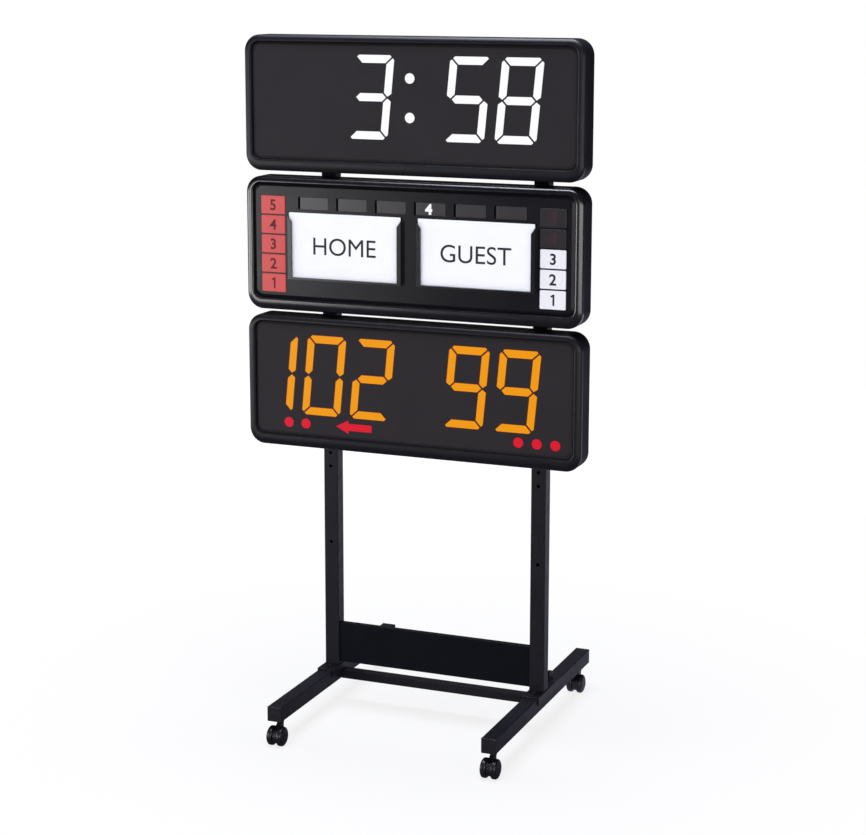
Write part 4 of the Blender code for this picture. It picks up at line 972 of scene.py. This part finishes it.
def make_stand(finish):
    """Posts, rails, bar, plate, brackets and end caps."""
    steel = finish["steel"]
    for side, x in (("left", -POST_X), ("right", POST_X)):
        make_tube(side + "_post", steel, 2, holes=[(x, POST_MIDDLE_Y, z) for z in POST_HOLES_Z])
        make_tube(side + "_rail", steel, 1)
        eased_copy(side + "_foot_bracket", "powder_coated_steel", finish["dark_steel"])
        eased_copy(side + "_post_cap", "black_plastic", finish["moulded"], width=0.0008)
        for place in ("front", "rear"):
            eased_copy(f"{place}_{side}_rail_cap", "black_plastic", finish["moulded"])
    make_tube("cross_bar", steel, 0, corner=0.002, wall=0.0015)
    eased_copy("cross_plate", "powder_coated_steel", finish["plate"], width=0.0008)
    for panel in PANEL_MIDDLES:
        eased_copy(panel + "_panel_bracket", "powder_coated_steel", steel, width=0.0008)


def wheel_profile(inner, outer):
    """Half a wheel pair's outline as (offset, radius) points, from its dished cap to the gap."""
    radius, hub = WHEEL_RADIUS, WHEEL_HUB_RADIUS
    half = [(outer - depth, size) for depth, size in WHEEL_CAP] + [(outer, hub)]
    for sine, cosine in quarter_arc(8):
        half.append((outer - WHEEL_SHOULDER * (1 - cosine), hub + (radius - hub) * sine))
    half += [(inner + offset, radius - drop) for offset, drop in WHEEL_INNER_EDGE]
    return half + [(inner, WHEEL_AXLE_RADIUS)]


def make_casters(finish):
    """Forks and twin wheels; each wheel pair is one shape turned about X."""
    for place in ("front", "rear"):
        for side in ("left", "right"):
            name = f"{place}_{side}"
            fork = name + "_caster_fork"
            moulded = finish["moulded"]
            eased_copy(fork, "black_plastic", moulded, width=0.0008, segments=2, body=name + "_fork")
            node = name + "_wheel_pair"
            low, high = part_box(node)
            centre = (low + high) / 2
            half = wheel_profile(WHEEL_SPACING / 2, (high.x - low.x) / 2)
            profile = half + [(-offset, radius) for offset, radius in reversed(half)]
            rings = [
                ring_at(round_outline(centre.y, centre.z, radius, WHEEL_SIDES), centre.x + offset, 0)
                for offset, radius in profile
            ]
            piece = ring_piece(name + "_wheels", rings, [finish["tread"]])
            place_piece(piece, "wheel_plastic", node, body=name + "_wheels")


# Screws


def screw_tree(material):
    """Geometry nodes that set one cap screw on each point, standing along its facing."""
    tree = bpy.data.node_groups.new("cap_screws", "GeometryNodeTree")
    face = tree.interface
    face.new_socket("Geometry", in_out="INPUT", socket_type="NodeSocketGeometry")
    for name, value in (("Head Radius", 0.0035), ("Head Height", 0.0022), ("Socket Radius", 0.0015)):
        face.new_socket(name, in_out="INPUT", socket_type="NodeSocketFloat").default_value = value
    face.new_socket("Geometry", in_out="OUTPUT", socket_type="NodeSocketGeometry")
    start = tree.nodes.new("NodeGroupInput")
    points, radius, height, socket_radius = (start.outputs[i] for i in range(4))

    def times(socket, factor):
        return maths(tree, "MULTIPLY", socket, factor)

    def cone(sides, bottom, top, depth, z):
        sizes = {"Vertices": sides, "Radius_Bottom": bottom, "Radius_Top": top, "Depth": depth}
        mesh = add_node(tree, "GeometryNodeMeshCone", **sizes).outputs["Mesh"]
        offset = add_node(tree, "ShaderNodeCombineXYZ", Z=z).outputs[0]
        return add_node(tree, "GeometryNodeTransform", Geometry=mesh, Translation=offset).outputs["Geometry"]

    lower = cone(20, times(radius, 0.96), radius, times(height, 0.5), 0.0)
    upper = cone(20, radius, times(radius, 0.72), times(height, 0.5), times(height, 0.5))
    drive = cone(6, socket_radius, socket_radius, height, times(height, 0.45))
    joined = add_node(tree, "GeometryNodeMeshBoolean", {"operation": "UNION"}, Mesh_2=lower)
    tree.links.new(upper, joined.inputs["Mesh 2"])
    halves = {"Mesh_1": joined.outputs["Mesh"], "Mesh_2": drive}
    screw = add_node(tree, "GeometryNodeMeshBoolean", {"operation": "DIFFERENCE"}, **halves).outputs["Mesh"]
    facing = add_node(tree, "GeometryNodeInputNamedAttribute", {"data_type": "FLOAT_VECTOR"}, Name="facing")
    way = facing.outputs["Attribute"]
    turn = add_node(tree, "FunctionNodeAlignRotationToVector", {"axis": "Z"}, Vector=way).outputs["Rotation"]
    spread = add_node(tree, "GeometryNodeInstanceOnPoints", Points=points, Instance=screw, Rotation=turn)
    real = add_node(tree, "GeometryNodeRealizeInstances", Geometry=spread.outputs["Instances"])
    coat = add_node(tree, "GeometryNodeSetMaterial", Geometry=real.outputs["Geometry"], Material=material)
    add_node(tree, "NodeGroupOutput", Geometry=coat.outputs["Geometry"])
    return tree


def set_screws(name, places, size, tree, material, slot="powder_coated_steel"):
    """Screws of one size at (point, facing) places."""
    mesh = bpy.data.meshes.new(name)
    mesh.from_pydata([tuple(point) for point, _ in places], [], [])
    facing = mesh.attributes.new("facing", "FLOAT_VECTOR", "POINT")
    facing.data.foreach_set("vector", [value for _, way in places for value in way])
    piece = add_object(name, mesh)
    modifier = piece.modifiers.new("screws", "NODES")
    modifier.node_group = tree
    values = {"Head Radius": size[0], "Head Height": size[1], "Socket Radius": size[0] * SOCKET_SHARE}
    for item in tree.interface.items_tree:
        if item.name in values:
            modifier[item.identifier] = values[item.name]
    settle(piece)
    piece.data.materials.clear()
    piece.data.materials.append(material)
    shade(piece.data, 28)
    place_piece(piece, slot)


def make_screws(finish):
    """Screws of the rear covers, panel brackets and foot brackets."""
    tree = screw_tree(finish["screw"])
    back, up = (0, 1, 0), (0, 0, 1)
    plate_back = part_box("top_panel_bracket")[0].y + BRACKET_SHEET
    cover, bracket = [], []
    for middle in PANEL_MIDDLES.values():
        for places, columns, rise, y in (
            (cover, COVER_SCREWS_X, COVER_SCREWS_RISE, PANEL_BACK),
            (bracket, BRACKET_SCREWS_X, BRACKET_SCREWS_RISE, plate_back),
        ):
            places += [((x, y - SCREW_SINK, middle + z), back) for x in columns for z in (-rise, rise)]
    foot = []
    rail_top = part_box("left_rail")[1].z
    for x, node in ((-POST_X, "left_foot_bracket"), (POST_X, "right_foot_bracket")):
        low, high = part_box(node)
        rows = [low.y + inset for inset in FOOT_SCREWS_FRONT] + [high.y - FOOT_SCREW_REAR]
        foot += [((x, y, rail_top + FOOT_PLATE_TOP - SCREW_SINK), up) for y in rows]
    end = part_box("left_foot_bracket")[1].y - CLAMP_FROM_END
    tail = [((x, end, rail_top + CLAMP_RISE), up) for x in (-POST_X, POST_X)]
    screw = finish["screw"]
    set_screws("rear_cover_screws", cover, COVER_SCREW, tree, screw, "black_plastic")
    set_screws("panel_bracket_screws", bracket, BRACKET_SCREW, tree, screw)
    set_screws("foot_bracket_screws", foot, FOOT_SCREW, tree, screw)
    set_screws("foot_clamp_screws", tail, CLAMP_SCREW, tree, screw)


# Power inlet, rocker and circuit boards


def make_power(finish):
    """The inlet with its pins, and the rocker with a bar above and a ring below."""
    eased_copy("power_inlet", "black_plastic", finish["moulded"], width=0.0005, segments=2)
    eased_copy("power_rocker", "black_plastic", finish["moulded"], width=0.0006, body="rocker")
    low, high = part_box("power_inlet")
    middle = (low + high) / 2
    pins = bmesh.new()
    for x, z in PIN_PLACES:
        outline = box_outline(middle.x + x, middle.z + z, PIN_HALF_SIZE, OPENING_CORNER, 3)
        extrude(pins, outline, [low.y + depth for depth in PIN_DEPTHS])
    place_piece(finish_mesh(pins, "inlet_pins", [finish["brass"]]), "black_plastic")
    low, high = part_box("power_rocker")
    pivot = (SWITCH_X, PANEL_BACK - COVER_SHEET / 2, (low.z + high.z) / 2)
    marks = bmesh.new()
    bar = box_outline(0.0, 0.0, MARK_BAR, MARK_CORNER, 3)
    outer, inner = (round_outline(0.0, 0.0, radius, 24) for radius in MARK_RING)
    for rise, outlines in ((MARK_RISE, (bar, bar)), (-MARK_RISE, (outer, outer, inner, inner))):
        tilt = math.radians(math.copysign(ROCKER_FACE, rise))
        place = Matrix.Translation(pivot) @ Matrix.Rotation(math.radians(-ROCKER_TILT), 4, "X")
        place = place @ Matrix.Translation((0.0, ROCKER_WAIST + rise * math.tan(tilt), rise))
        place = place @ Matrix.Rotation(-tilt, 4, "X")
        layers = zip(outlines, (MARK_BACK, INK_LIFT, INK_LIFT, MARK_BACK))
        rings = [[place @ Vector(point) for point in ring_at(outline, lift)] for outline, lift in layers]
        join_rings(marks, rings, closed=rise < 0)
    place_piece(finish_mesh(marks, "rocker_marks", [finish["mark"]]), "black_plastic", body="rocker")


def paint_boards(material):
    """The circuit boards stay as the solids, with a finer material."""
    for panel in PANEL_MIDDLES:
        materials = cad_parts[panel + "_circuit_board"].data.materials
        materials.clear()
        materials.append(material)


# Stage, lights and camera


def add_camera():
    """The photo's camera, with a small shift in place of its larger one."""
    data = bpy.data.cameras.new("product_camera")
    data.sensor_width = 36.0
    data.lens = CAMERA_LENS
    data.shift_y = CAMERA_SHIFT
    camera = add_object("product_camera", data)
    turn, tilt = math.radians(CAMERA_TURN), math.radians(CAMERA_TILT)
    back = Vector((math.sin(turn) * math.cos(tilt), -math.cos(turn) * math.cos(tilt), math.sin(tilt)))
    camera.location = Vector(CAMERA_TARGET) + back * CAMERA_DISTANCE
    camera.rotation_mode = "QUATERNION"
    camera.rotation_quaternion = Quaternion(back, math.radians(CAMERA_ROLL)) @ back.to_track_quat("Z", "Y")
    bpy.context.scene.camera = camera


def add_area_light(name, place, target, size, power, colour=(1.0, 1.0, 1.0)):
    """A softbox that the camera doesn't see, of a width and height in metres and a power in watts."""
    data = bpy.data.lights.new(name, "AREA")
    data.shape = "RECTANGLE"
    data.size, data.size_y = size
    data.energy = power
    data.color = colour
    light = add_object(name, data)
    light.location = place
    light.rotation_mode = "QUATERNION"
    light.rotation_quaternion = (Vector(place) - Vector(target)).to_track_quat("Z", "Y")
    light.visible_camera = False


def add_lights():
    """An overhead box, a box and a strip at the left, and a wide box at the right."""
    over, front, left = (-0.1, -0.19, 0.0), (0.0, 0.0, 1.1), (-0.44, 0.0, 1.1)
    add_area_light("overhead_softbox", (-0.1, -0.2, 4.3), over, (2.2, 2.45), 258.0, (0.84, 0.86, 1.0))
    add_area_light("left_softbox", (-2.75, -3.8, 0.85), front, (1.3, 1.5), 44.0)
    add_area_light("left_strip", (-3.8, -1.56, 0.75), left, (2.4, 1.0), 44.0)
    add_area_light("right_softbox", (2.54, -2.82, 1.0), front, (4.2, 1.2), 60.0, (1.0, 0.98, 0.97))


def add_floor():
    """A pale floor that runs out into the white backdrop and keeps the object's shadow.

    Reflections see it as a cool sweep that is brightest behind the object, at three to four metres.
    """
    bm = bmesh.new()
    bmesh.ops.create_grid(bm, x_segments=8, y_segments=8, size=30.0)
    mesh = bpy.data.meshes.new("studio_floor")
    bm.to_mesh(mesh)
    bm.free()
    floor = add_object("studio_floor", mesh)
    pale = Finish("pale_floor", (FLOOR_SHADE,) * 3, 0.9, specular=0.1)
    pale.relief(0.02, 0.0002, 0.05)
    mesh.materials.append(pale.material)
    tree = pale.tree
    rays = pale.node("LightPath").outputs
    away = pale.node("VectorMath", {"operation": "LENGTH"}, _0=pale.place).outputs["Value"]
    seen = maths(tree, "MULTIPLY", pale.span(away, *FLOOR_FADE), rays["Is Camera Ray"])
    along = pale.node("VectorMath", {"operation": "DOT_PRODUCT"}, _0=pale.place, _1=SWEEP_WAY)
    near, far = pale.span(away, *SWEEP_RISE), pale.span(away, *SWEEP_FALL)
    behind = pale.span(along.outputs["Value"], *SWEEP_BEHIND)
    sweep = maths(tree, "MULTIPLY", behind, maths(tree, "MULTIPLY", near, far))
    level = maths(tree, "MAXIMUM", maths(tree, "MULTIPLY_ADD", sweep, *SWEEP_LEVELS), rays["Is Camera Ray"])
    share = maths(tree, "MAXIMUM", seen, rays["Is Glossy Ray"])
    cool = pale.blend(rays["Is Glossy Ray"], (1.0, 1.0, 1.0), SWEEP_TINT)
    white = pale.node("Emission", Color=cool, Strength=level).outputs[0]
    mix = pale.node("MixShader", _0=share, _1=pale.shader.outputs[0], _2=white)
    set_inputs(tree, tree.nodes["Material Output"], Surface=mix.outputs[0])


def add_world():
    """A dim studio with a white backdrop behind the object, which also shows in metal and glass."""
    world = bpy.data.worlds.new("studio")
    world.use_nodes = True
    tree = world.node_tree
    way = tree.nodes.new("ShaderNodeTexCoord").outputs["Generated"]
    dot = add_node(tree, "ShaderNodeVectorMath", {"operation": "DOT_PRODUCT"}, _0=way, _1=BACKDROP_WAY)
    behind = maths(tree, "GREATER_THAN", dot.outputs["Value"], BACKDROP_SPREAD)
    rays = tree.nodes.new("ShaderNodeLightPath").outputs
    mirrored = maths(tree, "MAXIMUM", rays["Is Glossy Ray"], rays["Is Transmission Ray"])
    shown = maths(tree, "MAXIMUM", rays["Is Camera Ray"], maths(tree, "MULTIPLY", mirrored, behind))
    strength = maths(tree, "SUBTRACT", STUDIO_LEVEL, maths(tree, "MULTIPLY", mirrored, MIRRORED_LOSS))
    dim = set_inputs(tree, tree.nodes["Background"], Color=STUDIO_TINT, Strength=strength)
    backdrop = add_node(tree, "ShaderNodeBackground", Color=(1.0, 1.0, 1.0, 1.0), Strength=1.0)
    mix = add_node(tree, "ShaderNodeMixShader", _0=shown, _1=dim.outputs[0], _2=backdrop.outputs[0])
    set_inputs(tree, tree.nodes["World Output"], Surface=mix.outputs[0])
    bpy.context.scene.world = world
    bpy.context.scene.view_settings.view_transform = "Standard"


add_camera()
add_world()
add_floor()
add_lights()
finishes = make_finishes()
make_displays(finishes)
for panel_name in PANEL_MIDDLES:
    shell = finishes["gloss"] if panel_name == "middle" else finishes["case"]
    make_bezel(panel_name, shell, finishes["case_side"])
    make_rear_cover(panel_name, finishes["case_side"])
for side_name in ("home", "guest"):
    make_card_holder(side_name, finishes["channel"])
    make_name_card(side_name, finishes)
make_stand(finishes)
make_casters(finishes)
make_screws(finishes)
make_power(finishes)
paint_boards(finishes["board"])
